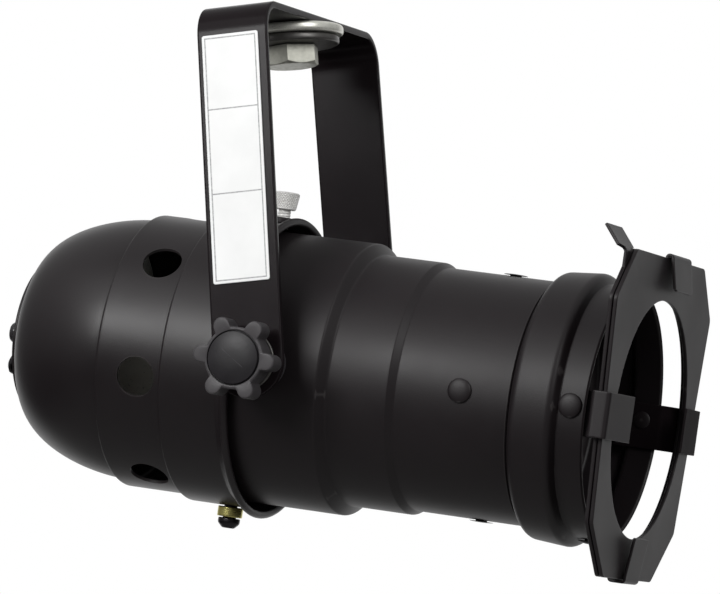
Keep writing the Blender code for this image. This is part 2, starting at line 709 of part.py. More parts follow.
def makeClip(name, degrees, out, lip, shift, can, finish):
    """One strap that stands out of the can at an angle."""
    outline = [(-s, r) for s, r in strip(clipPath(out, lip), CLIP_THICK)]
    mesh = standingStrip(outline, CLIP_WIDTH)
    clip = addObject("clip_" + name, mesh, finish, can, (0, 0, shift), standTo(degrees))
    drill(clip, radial(CLIP_RIVET_S, RING_RADIUS - 2 * SHEET, degrees), outward(degrees),
          RIVET_RADIUS + RUNNING, 4 * SHEET, SMALL_STEPS, can)


def frameOutline():
    """Eight corners of the colour frame, anticlockwise from the top right."""
    right = [(FRAME_BOTTOM_HALF, FRAME_BOTTOM_UP), (FRAME_WAIST_HALF, -FRAME_SHOULDER_UP),
             (FRAME_SHOULDER_HALF, FRAME_SHOULDER_UP), (FRAME_TOP_HALF, FRAME_TOP_UP)]
    return right + [(-x, z) for x, z in right[::-1]]


def framePlate(name, rear_s, finish, carrier, can):
    """One plate of the frame with its round hole."""
    mesh = prism(frameOutline(), -rear_s - PLATE_THICK, -rear_s)
    plate = addObject(name, mesh, finish, carrier)
    drill(plate, (0, -rear_s, FRAME_HOLE_UP), (0, 1, 0), FRAME_HOLE_RADIUS, 6 * PLATE_THICK,
          BIG_STEPS, can)
    return plate


def makeColourFrame(can, finish):
    """Two plates: the front one has a folded tab, the rear one a bent handle."""
    carrier = addEmpty("frame_slide", (0, 0, 0), (0, 0, 0), can)
    rear = framePlate("frame_rear_plate", FRAME_REAR_S, finish, carrier, can)
    front_s = FRAME_REAR_S + PLATE_THICK + SEAT
    front = framePlate("frame_front_plate", front_s, finish, carrier, can)
    join(front, makeTab(front_s + PLATE_THICK, carrier))
    join(rear, makeHandle(carrier))


def makeTab(face, carrier):
    """Tab folded over the front plate's top edge, its lip hanging in front."""
    middle = face - PLATE_THICK / 2
    fold = TAB_FOLD
    top = FRAME_TOP_UP
    path = [(middle, top - TAB_ROOT), (middle, top + 0.15 * fold),
            (face + 0.08 * fold, top + 0.7 * fold), (face + 0.77 * fold, top + 0.46 * fold),
            (face + fold, top - 0.3 * fold), (face + fold + TAB_FLARE, top - TAB_LIP)]
    outline = [(-s, z) for s, z in strip(path, TAB_THICK)]
    mesh = standingStrip(outline, TAB_WIDTH)
    return addObject("frame_tab_shape", mesh, None, carrier, (TAB_ASIDE, 0, 0))


def makeHandle(carrier):
    """Narrow stem up from the plate's shoulder, then a wide leaf bent back."""
    back = math.radians(HANDLE_BEND_DEG)
    start = FRAME_TOP_UP - HANDLE_ROOT
    bend = start + HANDLE_STEM
    middle = FRAME_REAR_S + PLATE_THICK / 2
    profile = [(middle, start, HANDLE_STEM_WIDTH), (middle, bend - HANDLE_NECK, HANDLE_STEM_WIDTH)]
    for along, width in ((HANDLE_NECK / 2, HANDLE_STEM_WIDTH),
                         (HANDLE_NECK / 2 + HANDLE_WIDEN, HANDLE_WIDTH),
                         (HANDLE_LENGTH + HANDLE_EASE, HANDLE_WIDTH)):
        profile.append((middle - math.sin(back) * (along + HANDLE_EASE),
                        bend + math.cos(back) * along, width))
    centre = [(s, z) for s, z, width in profile]
    front = offsetLine(centre, HANDLE_THICK / 2)
    rear = offsetLine(centre, -HANDLE_THICK / 2)
    bm = bmesh.new()
    rows = []
    for (s, z, width), (sf, zf), (sr, zr) in zip(profile, front, rear):
        half = width / 2
        corners = ((-half, -sf, zf), (half, -sf, zf), (half, -sr, zr), (-half, -sr, zr))
        rows.append([bm.verts.new(corner) for corner in corners])
    wallRows(bm, rows)
    bm.faces.new(rows[0])
    bm.faces.new(rows[-1][::-1])
    return addObject("frame_handle_shape", meshFrom(bm, "handle"), None, carrier, (HANDLE_X, 0, 0))


# Rear housing

def domeStart():
    """Station where the dome becomes straight behind the band."""
    return DOME_END_S - DOME_LEAD


def domeRadiusAt(s):
    """Outer radius of the dome at a station between its flat and its straight part."""
    share = (domeStart() - s) / (domeStart() - DOME_REAR_S)
    cosine = min(max(share, 0.0), 1.0) ** (1 / DOME_POWER)
    return DOME_FLAT + (DOME_RADIUS - DOME_FLAT) * math.sqrt(1 - cosine ** 2)


def housingOutline():
    """Dome, vent band, collar and rolled rim as one spun sheet."""
    outer = [(DOME_REAR_S, DOME_MOUTH), (DOME_REAR_S, DOME_FLAT)]
    for k in range(1, DOME_STEPS):
        angle = math.radians(90 * k / DOME_STEPS)
        depth = (domeStart() - DOME_REAR_S) * math.cos(angle) ** DOME_POWER
        outer.append((domeStart() - depth,
                      DOME_FLAT + (DOME_RADIUS - DOME_FLAT) * math.sin(angle)))
    outer += [(DOME_END_S - SHELL_ROUND, DOME_RADIUS), (DOME_END_S, BAND_RADIUS),
              (BAND_END_S - SHELL_ROUND, BAND_RADIUS), (BAND_END_S, COLLAR_RADIUS),
              (RIM_S - RIM_LEAD, COLLAR_RADIUS)]
    bead = arc((RIM_S, RIM_RADIUS - RIM_BEAD), RIM_BEAD, 150, -120, 6)
    return outer + bead + offsetLine(outer, SHEET)[::-1]


def makeRearHousing(housing, finish):
    """Spun shell with seven vents and its screw holes."""
    shell = addObject("rear_housing", turned(housingOutline(), BIG_STEPS), finish, housing)
    for k in range(VENT_COUNT):
        degrees = VENT_FIRST_DEG + 360.0 * k / VENT_COUNT
        drill(shell, radial(VENT_S, BAND_RADIUS, degrees), outward(degrees), VENT_RADIUS,
              8 * SHEET, SMALL_STEPS, housing)
    for s, degrees, radius in ((THUMB_S, 90, THUMB_SHANK), (BOTTOM_SCREW_S, 270, BOTTOM_SHANK)):
        drill(shell, radial(s, COLLAR_RADIUS, degrees), outward(degrees), radius + RUNNING,
              4 * SHEET, SMALL_STEPS, housing)
    for degrees in PLATE_SCREW_DEG:
        drill(shell, radial(DOME_REAR_S, PLATE_SCREW_RING, degrees), (0, 1, 0),
              SMALL_SCREW + RUNNING, 4 * SHEET, SMALL_STEPS, housing)


def makeBackPlate(housing, mats):
    """Round plate behind the dome, its two screws, the gland and the gland's nut."""
    rear = DOME_REAR_S - SEAT - BACK_PLATE_THICK
    front = DOME_REAR_S - SEAT
    bore = GLAND_THREAD + RUNNING
    outline = [(front, bore), (rear, bore), (rear, BACK_PLATE_RADIUS - BACK_PLATE_ROUND),
               (rear + BACK_PLATE_ROUND, BACK_PLATE_RADIUS), (front, BACK_PLATE_RADIUS)]
    plate = addObject("back_plate", turned(outline, BIG_STEPS), mats["black_paint"], housing)
    for k, degrees in enumerate(PLATE_SCREW_DEG):
        drill(plate, radial(rear, PLATE_SCREW_RING, degrees), (0, 1, 0), SMALL_SCREW + RUNNING,
              6 * BACK_PLATE_THICK, SMALL_STEPS, housing)
        addObject("back_plate_screw_" + str(k + 1), smallScrew(PLATE_SCREW_LONG), mats["zinc"],
                  housing, radial(rear - SEAT, PLATE_SCREW_RING, degrees), (-math.pi / 2, 0, 0))
    makeGland(housing, mats, rear, front)


def smallScrew(length):
    """Pan head on local Z = 0 with a plain shank below."""
    outline = [(-length, 0), (-length, SMALL_SCREW), (0, SMALL_SCREW), (0, SMALL_HEAD),
               (0.6 * SMALL_HEAD_HIGH, 0.9 * SMALL_HEAD), (SMALL_HEAD_HIGH, 0.5 * SMALL_HEAD),
               (SMALL_HEAD_HIGH, 0)]
    return turnedUp(outline, SMALL_STEPS, closed=False)


def makeGland(housing, mats, rear, front):
    """Strain relief gland through the back plate, and its hexagon nut inside."""
    seat = rear - SEAT
    tip = seat - GLAND_LENGTH
    thread = front + SEAT + GLAND_NUT_THICK + GLAND_THREAD_SPARE
    lip = math.degrees(math.asin((GLAND_BORE + GLAND_LIP) / GLAND_TIP))
    ball = arc((tip + GLAND_TIP, 0), GLAND_TIP, 90, 180 - lip, 4)
    outline = [(thread, GLAND_BORE), (thread, GLAND_THREAD), (seat, GLAND_THREAD),
               (seat, GLAND_FLANGE), (seat - GLAND_FLANGE_THICK, GLAND_FLANGE),
               (seat - (GLAND_FLANGE_THICK + GLAND_NECK) / 2, GLAND_FLANGE - GLAND_SLOPE),
               (seat - GLAND_NECK, GLAND_TIP)]
    outline += ball + [(tip + GLAND_TIP / 2, GLAND_BORE)]
    addObject("cable_gland", turned(outline, MID_STEPS), mats["gland_plastic"], housing)
    nut = addObject("gland_nut", hexagon(GLAND_NUT_ACROSS, 0, GLAND_NUT_THICK),
                    mats["black_plastic"], housing, (0, -(front + SEAT), 0), (math.pi / 2, 0, 0))
    drill(nut, (0, -front, 0), (0, 1, 0), GLAND_THREAD + RUNNING, 6 * GLAND_NUT_THICK,
          SMALL_STEPS, housing)


def makeThumbscrew(housing, mats):
    """Thumbscrew on top of the collar, through its boss."""
    bore = THUMB_SHANK + RUNNING
    base = COLLAR_RADIUS + SEAT
    place = (0, -THUMB_S, 0)
    boss = turnedUp([(base, bore), (base, BOSS_RADIUS), (BOSS_TOP_UP - BOSS_ROUND, BOSS_RADIUS),
                     (BOSS_TOP_UP, BOSS_RADIUS - BOSS_ROUND), (BOSS_TOP_UP, bore)], SMALL_STEPS)
    addObject("thumbscrew_boss", boss, mats["black_paint"], housing, place)
    tip = BODY_RADIUS + SEAT
    neck = THUMB_NECK_UP
    top = neck + THUMB_HEAD
    thumb = turnedUp([(tip, 0), (tip, THUMB_SHANK), (neck, THUMB_SHANK),
                      (neck, THUMB_HEAD_LOW - THUMB_ROUND), (neck + THUMB_ROUND, THUMB_HEAD_LOW),
                      (top - THUMB_ROUND, THUMB_HEAD_HIGH), (top, THUMB_HEAD_HIGH - THUMB_ROUND),
                      (top, 0)], MID_STEPS, closed=False)
    addObject("thumbscrew", thumb, mats["nickel"], housing, place)


def makeBottomScrew(housing, mats):
    """Round-headed screw below the collar, through its yellow standoff."""
    base = COLLAR_RADIUS + SEAT
    standoffEnd = base + STANDOFF_HIGH
    place = (0, -BOTTOM_SCREW_S, 0)
    standoff = ring(base, standoffEnd, BOTTOM_SHANK + RUNNING, STANDOFF_RADIUS, SMALL_STEPS)
    addObject("bottom_standoff", standoff, mats["yellow_zinc"], housing, place, standTo(270))
    tip = BODY_RADIUS + SEAT
    head = standoffEnd + SEAT
    screw = turnedUp([(tip, 0), (tip, BOTTOM_SHANK), (head, BOTTOM_SHANK),
                      (head, BOTTOM_HEAD_RADIUS), (head + 0.55 * BOTTOM_HEAD, BOTTOM_HEAD_RADIUS),
                      (head + 0.85 * BOTTOM_HEAD, 0.8 * BOTTOM_HEAD_RADIUS),
                      (head + BOTTOM_HEAD, 0.45 * BOTTOM_HEAD_RADIUS), (head + BOTTOM_HEAD, 0)],
                     SMALL_STEPS, closed=False)
    addObject("bottom_screw", screw, mats["dark_steel"], housing, place, standTo(270))


# Tilt pivots and knobs

def knobRadius(angle, share):
    """Radius of the star at an angle: a waist with rounded lobes, share 0 round to 1 full."""
    half = math.radians(KNOB_LOBE_WIDTH_DEG) / 2
    step = math.tau / KNOB_LOBES
    away = (angle - math.radians(KNOB_TURN_DEG) + step / 2) % step - step / 2
    lobe = max(0.0, 1.0 - (away / half) ** 4) ** 0.5
    return KNOB_WAIST + (KNOB_TIP - KNOB_WAIST) * lobe * share


def knobMesh():
    """Star knob along local Z, its socket open at Z = 0."""
    cap = KNOB_HIGH - KNOB_CAP
    bore = STUD_RADIUS + RUNNING
    rings = [(KNOB_SOCKET, 0.0, 0.0), (KNOB_SOCKET, bore, 0.0), (0.0, bore, 0.0),
             (0.0, KNOB_HUB_RADIUS, 0.0), (KNOB_HUB, KNOB_HUB_RADIUS, 0.0),
             (KNOB_HUB + KNOB_EDGE / 3, None, 1.0), (cap - KNOB_EDGE, None, 1.0),
             (cap, None, 0.75), (cap, KNOB_CAP_RADIUS, 0.0),
             (cap + 0.5 * KNOB_CAP, 0.93 * KNOB_CAP_RADIUS, 0.0),
             (KNOB_HIGH, 0.6 * KNOB_CAP_RADIUS, 0.0), (KNOB_HIGH, 0.0, 0.0)]
    bm = bmesh.new()
    rows = []
    for z, radius, share in rings:
        row = []
        for k in range(KNOB_STEPS):
            angle = math.tau * k / KNOB_STEPS
            r = knobRadius(angle, share) if radius is None else radius
            row.append(bm.verts.new((r * math.cos(angle), r * math.sin(angle), z)))
        rows.append(row)
    wallRows(bm, rows)
    return meshFrom(bm, "knob")


def makePivots(can, mats):
    """Each side: nut and spacer inside the arm, washer, knob and its stud outside."""
    bore = STUD_RADIUS + RUNNING
    lean = abs(math.tan(armLean()))      # the arm's face leans over a flat washer
    spacerIn = BODY_RADIUS + SEAT
    spacerOut = PIVOT_HALF - BAR_THICK - SEAT - lean * SPACER_RADIUS
    washerIn = PIVOT_HALF + SEAT + lean * KNOB_WASHER_RADIUS
    washerOut = washerIn + KNOB_WASHER_THICK
    knobIn = washerOut + SEAT
    nutOut = math.sqrt((BODY_RADIUS - SHEET) ** 2 - PIVOT_NUT_RADIUS ** 2) - SEAT
    nutIn = nutOut - PIVOT_NUT_THICK
    studIn = nutIn + STUD_SHORT
    studOut = knobIn + KNOB_SOCKET - SEAT
    for name, degrees in (("near", 180), ("far", 0)):
        for kind, mesh, finish in (
                ("pivot_nut_", ring(nutIn, nutOut, bore, PIVOT_NUT_RADIUS, SMALL_STEPS), "zinc"),
                ("pivot_spacer_", ring(spacerIn, spacerOut, bore, SPACER_RADIUS), "nylon"),
                ("knob_washer_", ring(washerIn, washerOut, bore, KNOB_WASHER_RADIUS), "dark_steel"),
                ("knob_screw_", rod(studIn, studOut, STUD_RADIUS), "zinc")):
            addObject(kind + name, mesh, mats[finish], can, (0, 0, 0), standTo(degrees))
        addObject("knob_" + name, knobMesh(), mats["black_plastic"], can,
                  outward(degrees) * knobIn, standTo(degrees))


# Lamp

def makeLamp(lamp, mats):
    """Reflector lamp: bowl and lens, then its screw base."""
    front = LAMP_FACE_S - 2 * SEAT
    root = 1.065 * NECK_RADIUS       # the bowl leaves the neck with this radius
    start = NECK_S + 0.4 * NECK_RADIUS
    bowl = [(NECK_S, 0), (NECK_S, NECK_RADIUS), (start, root)]
    for part in (0.2, 0.4, 0.6, 0.8, 1.0):
        bowl.append((start + (front - LAMP_RIM - start) * part,
                     root + (LAMP_RADIUS - root) * math.sin(math.pi / 2 * part) ** 0.9))
    bowl.append((front, LAMP_RADIUS))
    inner = offsetLine(bowl, LAMP_GLASS)
    inner[0] = (NECK_S + LAMP_GLASS, 0)
    addObject("lamp_reflector", turned(bowl + inner[::-1], MID_STEPS, closed=False),
              mats["reflector"], lamp)
    back = front + SEAT
    lens = [(back, 0), (back, LAMP_RADIUS - SEAT), (back + 0.45 * LENS_DOME, LAMP_RADIUS - 2 * SEAT),
            (back + 0.84 * LENS_DOME, 0.6 * LAMP_RADIUS), (back + LENS_DOME, 0)]
    addObject("lamp_lens", turned(lens, MID_STEPS, closed=False), mats["lens_glass"], lamp)
    makeLampBase(lamp, mats)


def makeLampBase(lamp, mats):
    """Screw shell, insulator and centre contact behind the lamp's neck."""
    wall = 0.145 * BASE_RADIUS
    bore = BASE_RADIUS - wall
    rear = NECK_S - BASE_LENGTH
    taper = 0.08 * BASE_LENGTH
    shell = [(NECK_S - SEAT, bore), (NECK_S - SEAT, BASE_RADIUS), (rear, BASE_RADIUS),
             (rear - taper, bore), (rear - taper, bore - wall), (rear + taper / 2, bore)]
    addObject("lamp_base", turned(shell, MID_STEPS), mats["nickel"], lamp)
    plugFront = rear - taper - SEAT
    plugRear = LAMP_TIP_S + CONTACT_THICK + SEAT
    plug = [(plugFront, 0), (plugFront, bore - SEAT), (plugRear, CONTACT_RADIUS + 2 * SEAT),
            (plugRear, 0)]
    addObject("lamp_insulator", turned(plug, MID_STEPS, closed=False), mats["porcelain"], lamp)
    contact = [(LAMP_TIP_S, 0), (LAMP_TIP_S, 0.8 * CONTACT_RADIUS),
               (LAMP_TIP_S + 0.6 * CONTACT_THICK, CONTACT_RADIUS),
               (LAMP_TIP_S + CONTACT_THICK, CONTACT_RADIUS), (LAMP_TIP_S + CONTACT_THICK, 0)]
    addObject("lamp_contact", turned(contact, SMALL_STEPS, closed=False), mats["brass"], lamp)


# Lampholder and wiring

def makeHolder(housing, mats):
    """Porcelain holder with its threaded shell and centre spring."""
    body = [(HOLDER_FRONT_S, HOLDER_BORE), (HOLDER_FRONT_S, HOLDER_RADIUS - HOLDER_CHAMFER),
            (HOLDER_FRONT_S - HOLDER_CHAMFER, HOLDER_RADIUS), (HOLDER_REAR_S, HOLDER_RADIUS),
            (HOLDER_REAR_S, WIRE_HOLE), (HOLDER_FLOOR_S, WIRE_HOLE), (HOLDER_FLOOR_S, HOLDER_BORE)]
    holder = addObject("holder_body", turned(body, MID_STEPS), mats["porcelain"], housing)
    outside = HOLDER_BORE - SEAT
    front = HOLDER_FRONT_S - SHELL_SETBACK
    rear = HOLDER_FLOOR_S + SHELL_CLEAR
    shell = [(front, outside - SHELL_THICK), (front, outside), (rear, outside),
             (rear, outside - SHELL_THICK)]
    addObject("holder_shell", turned(shell, MID_STEPS), mats["brass"], housing)
    makeContactSpring(housing, mats["brass"])
    for degrees in (0, 180):
        drill(holder, radial(HOLDER_REAR_S, HOLDER_SCREW_OUT, degrees), (0, 1, 0),
              SMALL_SCREW + RUNNING, HOLDER_FLOOR, SMALL_STEPS, housing)


def makeHolderPlate(housing, mats, front, rear):
    """Plate across the dome that carries the holder, with its three screws."""
    radius = domeRadiusAt(front) - SHEET - HOLDER_PLATE_PLAY
    outline = [(front, WIRE_HOLE), (front, radius), (rear, radius), (rear, WIRE_HOLE)]
    plate = addObject("holder_plate", turned(outline, MID_STEPS), mats["zinc"], housing)
    for name, out, degrees, length, finish in (
            ("holder_screw_1", HOLDER_SCREW_OUT, 0, HOLDER_SCREW_LONG, "zinc"),
            ("holder_screw_2", HOLDER_SCREW_OUT, 180, HOLDER_SCREW_LONG, "zinc"),
            ("earth_screw", EARTH_SCREW_OUT, 270, EARTH_SCREW_LONG, "brass")):
        drill(plate, radial(rear, out, degrees), (0, 1, 0), SMALL_SCREW + RUNNING,
              4 * HOLDER_PLATE_THICK, SMALL_STEPS, housing)
        addObject(name, smallScrew(length), mats[finish], housing,
                  radial(rear - SEAT, out, degrees), (-math.pi / 2, 0, 0))


def makeContactSpring(housing, finish):
    """Bent tongue that presses on the lamp's centre contact."""
    foot = HOLDER_FLOOR_S + SEAT + SPRING_THICK / 2
    tip = LAMP_TIP_S - SEAT - SPRING_THICK / 2
    reach = 0.28 * SPRING_FOOT
    path = [(foot, -SPRING_FOOT), (foot, -0.67 * SPRING_FOOT), (tip - 0.16 * SPRING_ROOM, -reach),
            (tip, 0.0), (tip - 0.12 * SPRING_ROOM, reach)]
    outline = [(-s, r) for s, r in strip(path, SPRING_THICK)]
    mesh = prism(outline, -SPRING_WIDTH / 2, SPRING_WIDTH / 2, axis="Z")
    mesh.transform(Matrix(((0, 1, 0, 0), (1, 0, 0, 0), (0, 0, -1, 0), (0, 0, 0, 1))))
    addObject("holder_contact", mesh, finish, housing)


def makeWiring(housing, mats, plateRear):
    """Terminal block behind the holder plate and the three leads."""
    face = -(plateRear - SEAT)       # local Y of the block's front face
    half = BLOCK_WIDTH / 2
    corners = [(-half, 0), (half, 0), (half, BLOCK_HIGH), (-half, BLOCK_HIGH)]
    block = addObject("terminal_block", prism(corners, 0, BLOCK_DEPTH), mats["porcelain"], housing,
                      (0, face, BLOCK_UP))
    pitch = BLOCK_WIDTH / BLOCK_POSTS
    middle = face + BLOCK_DEPTH / 2
    for k in range(BLOCK_POSTS):
        drill(block, (pitch * (k + 0.5) - half, middle, BLOCK_UP), (0, 0, 1),
              WIRE_RADIUS + RUNNING, BLOCK_HIGH, SMALL_STEPS, housing)
    high = BLOCK_UP + WIRE_IN_BLOCK
    low = BLOCK_UP - WIRE_STRAIGHT
    for name, side in (("live", -1), ("neutral", 1)):
        x = side * WIRE_APART
        route = [(side * pitch, middle, high), (side * pitch, middle, low),
                 (1.5 * x, face + 0.37 * BLOCK_DEPTH, 0.23 * BLOCK_UP), (x, face, 0.07 * BLOCK_UP),
                 (x, -HOLDER_REAR_S - 0.2 * HOLDER_FLOOR, 0), (x, -HOLDER_FLOOR_S - WIRE_IN_BLOCK, 0)]
        makeWire("wire_" + name, route, mats[name + "_wire"], housing)
    bow = face + EARTH_BOW
    route = [(0, middle, high), (0, middle, low), (-0.6 * EARTH_ASIDE, bow, 0.2 * BLOCK_UP),
             (-EARTH_ASIDE, bow, -EARTH_SCREW_OUT / 3),
             (-0.4 * EARTH_ASIDE, face + 0.72 * EARTH_BOW, -0.7 * EARTH_SCREW_OUT),
             (0, face + SMALL_HEAD_HIGH + 2 * WIRE_RADIUS, SMALL_SCREW - EARTH_SCREW_OUT)]
    makeWire("wire_earth", route, mats["earth_wire"], housing)


def makeWire(name, route, finish, parent):
    """A lead on a smooth curve through its own points."""
    points = smoothRoute([Vector(point) for point in route], 3)
    curve = bpy.data.curves.new(name, "CURVE")
    curve.dimensions = "3D"
    curve.bevel_depth = WIRE_RADIUS
    curve.bevel_resolution = 1
    curve.render_resolution_u = 0
    curve.use_fill_caps = True
    spline = curve.splines.new("POLY")
    spline.points.add(len(points) - 1)
    for knot, point in zip(spline.points, points):
        knot.co = (*point, 1.0)
    curve.materials.append(finish)
    wire = bpy.data.objects.new(name, curve)
    wire.parent = parent
    bpy.context.collection.objects.link(wire)


def smoothRoute(points, parts):
    """Catmull-Rom curve through the points, with this many parts between two of them."""
    padded = [points[0] * 2 - points[1]] + points + [points[-1] * 2 - points[-2]]
    route = []
    for a, b, c, d in zip(padded, padded[1:], padded[2:], padded[3:]):
        for k in range(parts):
            t = k / parts
            route.append(0.5 * (2 * b + (c - a) * t + (2 * a - 5 * b + 4 * c - d) * t ** 2
                                + (3 * b - a - 3 * c + d) * t ** 3))
    return route + [points[-1]]


def main():
    """Make every piece."""
    clearScene()
    mats = makeMaterials()
    paint = mats["black_paint"]
    makeYoke(paint)
    makeLabel(mats["white_label"])
    makeHangingBolt(mats)
    can = addEmpty("tilt_axis", (0, 0, -PIVOT_DROP), (math.radians(TILT_DEG), 0, 0))
    makeFrontTube(can, paint)
    makeBezel(can, paint)
    makeRivets(can, paint)
    makeClips(can, paint)
    makeColourFrame(can, paint)
    makePivots(can, mats)
    housing = addEmpty("housing_slide", (0, 0, 0), (0, 0, 0), can)
    makeRearHousing(housing, paint)
    makeBackPlate(housing, mats)
    makeThumbscrew(housing, mats)
    makeBottomScrew(housing, mats)
    lamp = addEmpty("lamp_axis", (0, 0, 0), (0, 0, 0), housing)
    makeLamp(lamp, mats)
    makeHolder(housing, mats)
    plateFront = HOLDER_REAR_S - SEAT
    plateRear = plateFront - HOLDER_PLATE_THICK
    makeHolderPlate(housing, mats, plateFront, plateRear)
    makeWiring(housing, mats, plateRear)


main()
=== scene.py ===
import json
import math

import bmesh
import bpy
import numpy as np
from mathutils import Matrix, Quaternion, Vector


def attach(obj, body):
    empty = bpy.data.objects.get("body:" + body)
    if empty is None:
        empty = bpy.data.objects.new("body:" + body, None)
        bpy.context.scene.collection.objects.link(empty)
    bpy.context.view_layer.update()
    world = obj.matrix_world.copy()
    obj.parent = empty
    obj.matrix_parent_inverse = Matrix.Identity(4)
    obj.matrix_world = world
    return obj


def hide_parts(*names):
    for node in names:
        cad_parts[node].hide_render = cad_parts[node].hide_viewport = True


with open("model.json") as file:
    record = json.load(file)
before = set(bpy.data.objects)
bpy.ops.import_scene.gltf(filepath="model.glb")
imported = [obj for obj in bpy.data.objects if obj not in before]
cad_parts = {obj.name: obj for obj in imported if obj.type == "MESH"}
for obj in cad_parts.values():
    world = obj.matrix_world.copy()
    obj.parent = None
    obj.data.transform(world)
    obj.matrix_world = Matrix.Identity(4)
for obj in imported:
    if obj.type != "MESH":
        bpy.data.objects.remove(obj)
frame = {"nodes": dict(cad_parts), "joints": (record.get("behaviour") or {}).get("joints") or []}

# Small black par can: finished surfaces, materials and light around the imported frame.
# Lengths in the dictionaries are millimetres, and metres for the room, the lights and the camera.
# In the can's own frame x runs to the far side, s forwards along the can and u up, all measured
# from the tilt axis.

mm = 0.001
turn = 2 * math.pi
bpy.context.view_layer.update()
joints = {joint["name"]: joint for joint in frame["joints"]}
pivot = np.array(joints["can_tilt"]["pos_m"])
farWay = np.array([1.0, 0.0, 0.0])
forwardWay = -np.array(joints["housing_pull"]["axis"])
upWay = np.array(joints["frame_lift"]["axis"])
print("frame loaded:", len(frame["nodes"]), "nodes")


# Places

def inCan(points):
    # P = pivot + x * farWay + s * forwardWay + u * upWay, millimetres to metres
    points = np.asarray(points, float) * mm
    return pivot + points[..., :1] * farWay + points[..., 1:2] * forwardWay + points[..., 2:] * upWay


def inRow(points):
    # P = p, millimetres to metres
    return np.asarray(points, float) * mm


def standing(degrees, s=0.0):
    # Turns (a, b, h) to the can: h goes out at an angle from far towards up, b stays along s,
    # a runs round: (x, s, u) = (h cos - a sin, s + b, h sin + a cos)
    angle = math.radians(degrees)
    c, n = math.cos(angle), math.sin(angle)

    def place(points):
        points = np.asarray(points, float)
        a, b, h = points[..., 0], points[..., 1], points[..., 2]
        return inCan(np.stack([h * c - a * n, s + b, h * n + a * c], -1))
    return place


# Lines and surfaces

def rounded(corners, radius, steps=6, hold=0.35):
    # Each inner corner P with unit sides d1, d2 and half angle h becomes the arc of centre
    # P + (d1 + d2) / |d1 + d2| * r / sin(h), from P + d1 r / tan(h) to P + d2 r / tan(h).
    # A point at the hold distance from both ends of a long flat keeps its shading flat.
    corners = np.asarray(corners, float)
    radii = np.broadcast_to(np.asarray(radius, float), (len(corners) - 2,))
    line = [corners[:1]]
    for before, here, after, r in zip(corners, corners[1:], corners[2:], radii):
        d1, d2 = before - here, after - here
        reach = 0.48 * min(np.linalg.norm(d1), np.linalg.norm(d2))
        d1, d2 = d1 / np.linalg.norm(d1), d2 / np.linalg.norm(d2)
        half = math.acos(np.clip(d1 @ d2, -1, 1)) / 2
        if r <= 0 or half > 1.56:
            line.append(here[None])
            continue
        tangent = min(r / math.tan(half), reach)
        r = tangent * math.tan(half)
        centre = here + (d1 + d2) / np.linalg.norm(d1 + d2) * r / math.sin(half)
        v1, v2 = here + d1 * tangent - centre, here + d2 * tangent - centre
        swing = math.pi - 2 * half
        t = np.linspace(0, 1, steps + 1)[:, None]
        line.append(centre + (np.sin((1 - t) * swing) * v1 + np.sin(t * swing) * v2) / math.sin(swing))
    line.append(corners[-1:])
    return held(np.concatenate(line), hold)


def held(line, near):
    # Points at near from each end of every segment longer than 4 near
    step = line[1:] - line[:-1]
    length = np.linalg.norm(step, axis=1, keepdims=True)
    unit = step / np.maximum(length, 1e-9)
    trio = np.stack([line[:-1], line[:-1] + unit * near, line[1:] - unit * near], 1)
    keep = np.stack([np.ones(len(step), bool), length[:, 0] > 4 * near, length[:, 0] > 4 * near], 1)
    return np.concatenate([trio[keep], line[-1:]])


def sidesOf(line):
    # Unit normals to the right of a 2D line, from the mean of its neighbouring directions
    ahead = np.gradient(line, axis=0)
    ahead /= np.maximum(np.linalg.norm(ahead, axis=1, keepdims=True), 1e-9)
    return np.stack([ahead[:, 1], -ahead[:, 0]], 1)


def sheetLoop(outer, thick, lip=0.3):
    # A sheet's closed profile: the outer line, then the line thick to its right, back again,
    # with both ends rounded a little
    inner = outer + sidesOf(outer) * thick
    first = (outer[:1] + inner[:1]) / 2 - np.sign(outer[1:2] - outer[:1]) * lip * thick
    last = (outer[-1:] + inner[-1:]) / 2 + np.sign(outer[-1:] - outer[-2:-1]) * lip * thick
    return np.concatenate([first, outer, last, inner[::-1], first])


def around(steps, start=0.0):
    # steps + 1 angles of a full circle, the last on the first
    return start + np.linspace(0, turn, steps + 1)


def spin(profile, angles):
    # Profile (s, r) about the can's axis: (x, s, u) = (r cos a, s, r sin a)
    s, r = profile[:, 0][:, None], profile[:, 1][:, None]
    return np.stack([r * np.cos(angles), s + 0 * angles, r * np.sin(angles)], -1)


def spinUp(profile, angles):
    # Profile (h, r) about the third axis: (a, b, h) = (r cos a, r sin a, h)
    h, r = profile[:, 0][:, None], profile[:, 1][:, None]
    return np.stack([r * np.cos(angles), r * np.sin(angles), h + 0 * angles], -1)


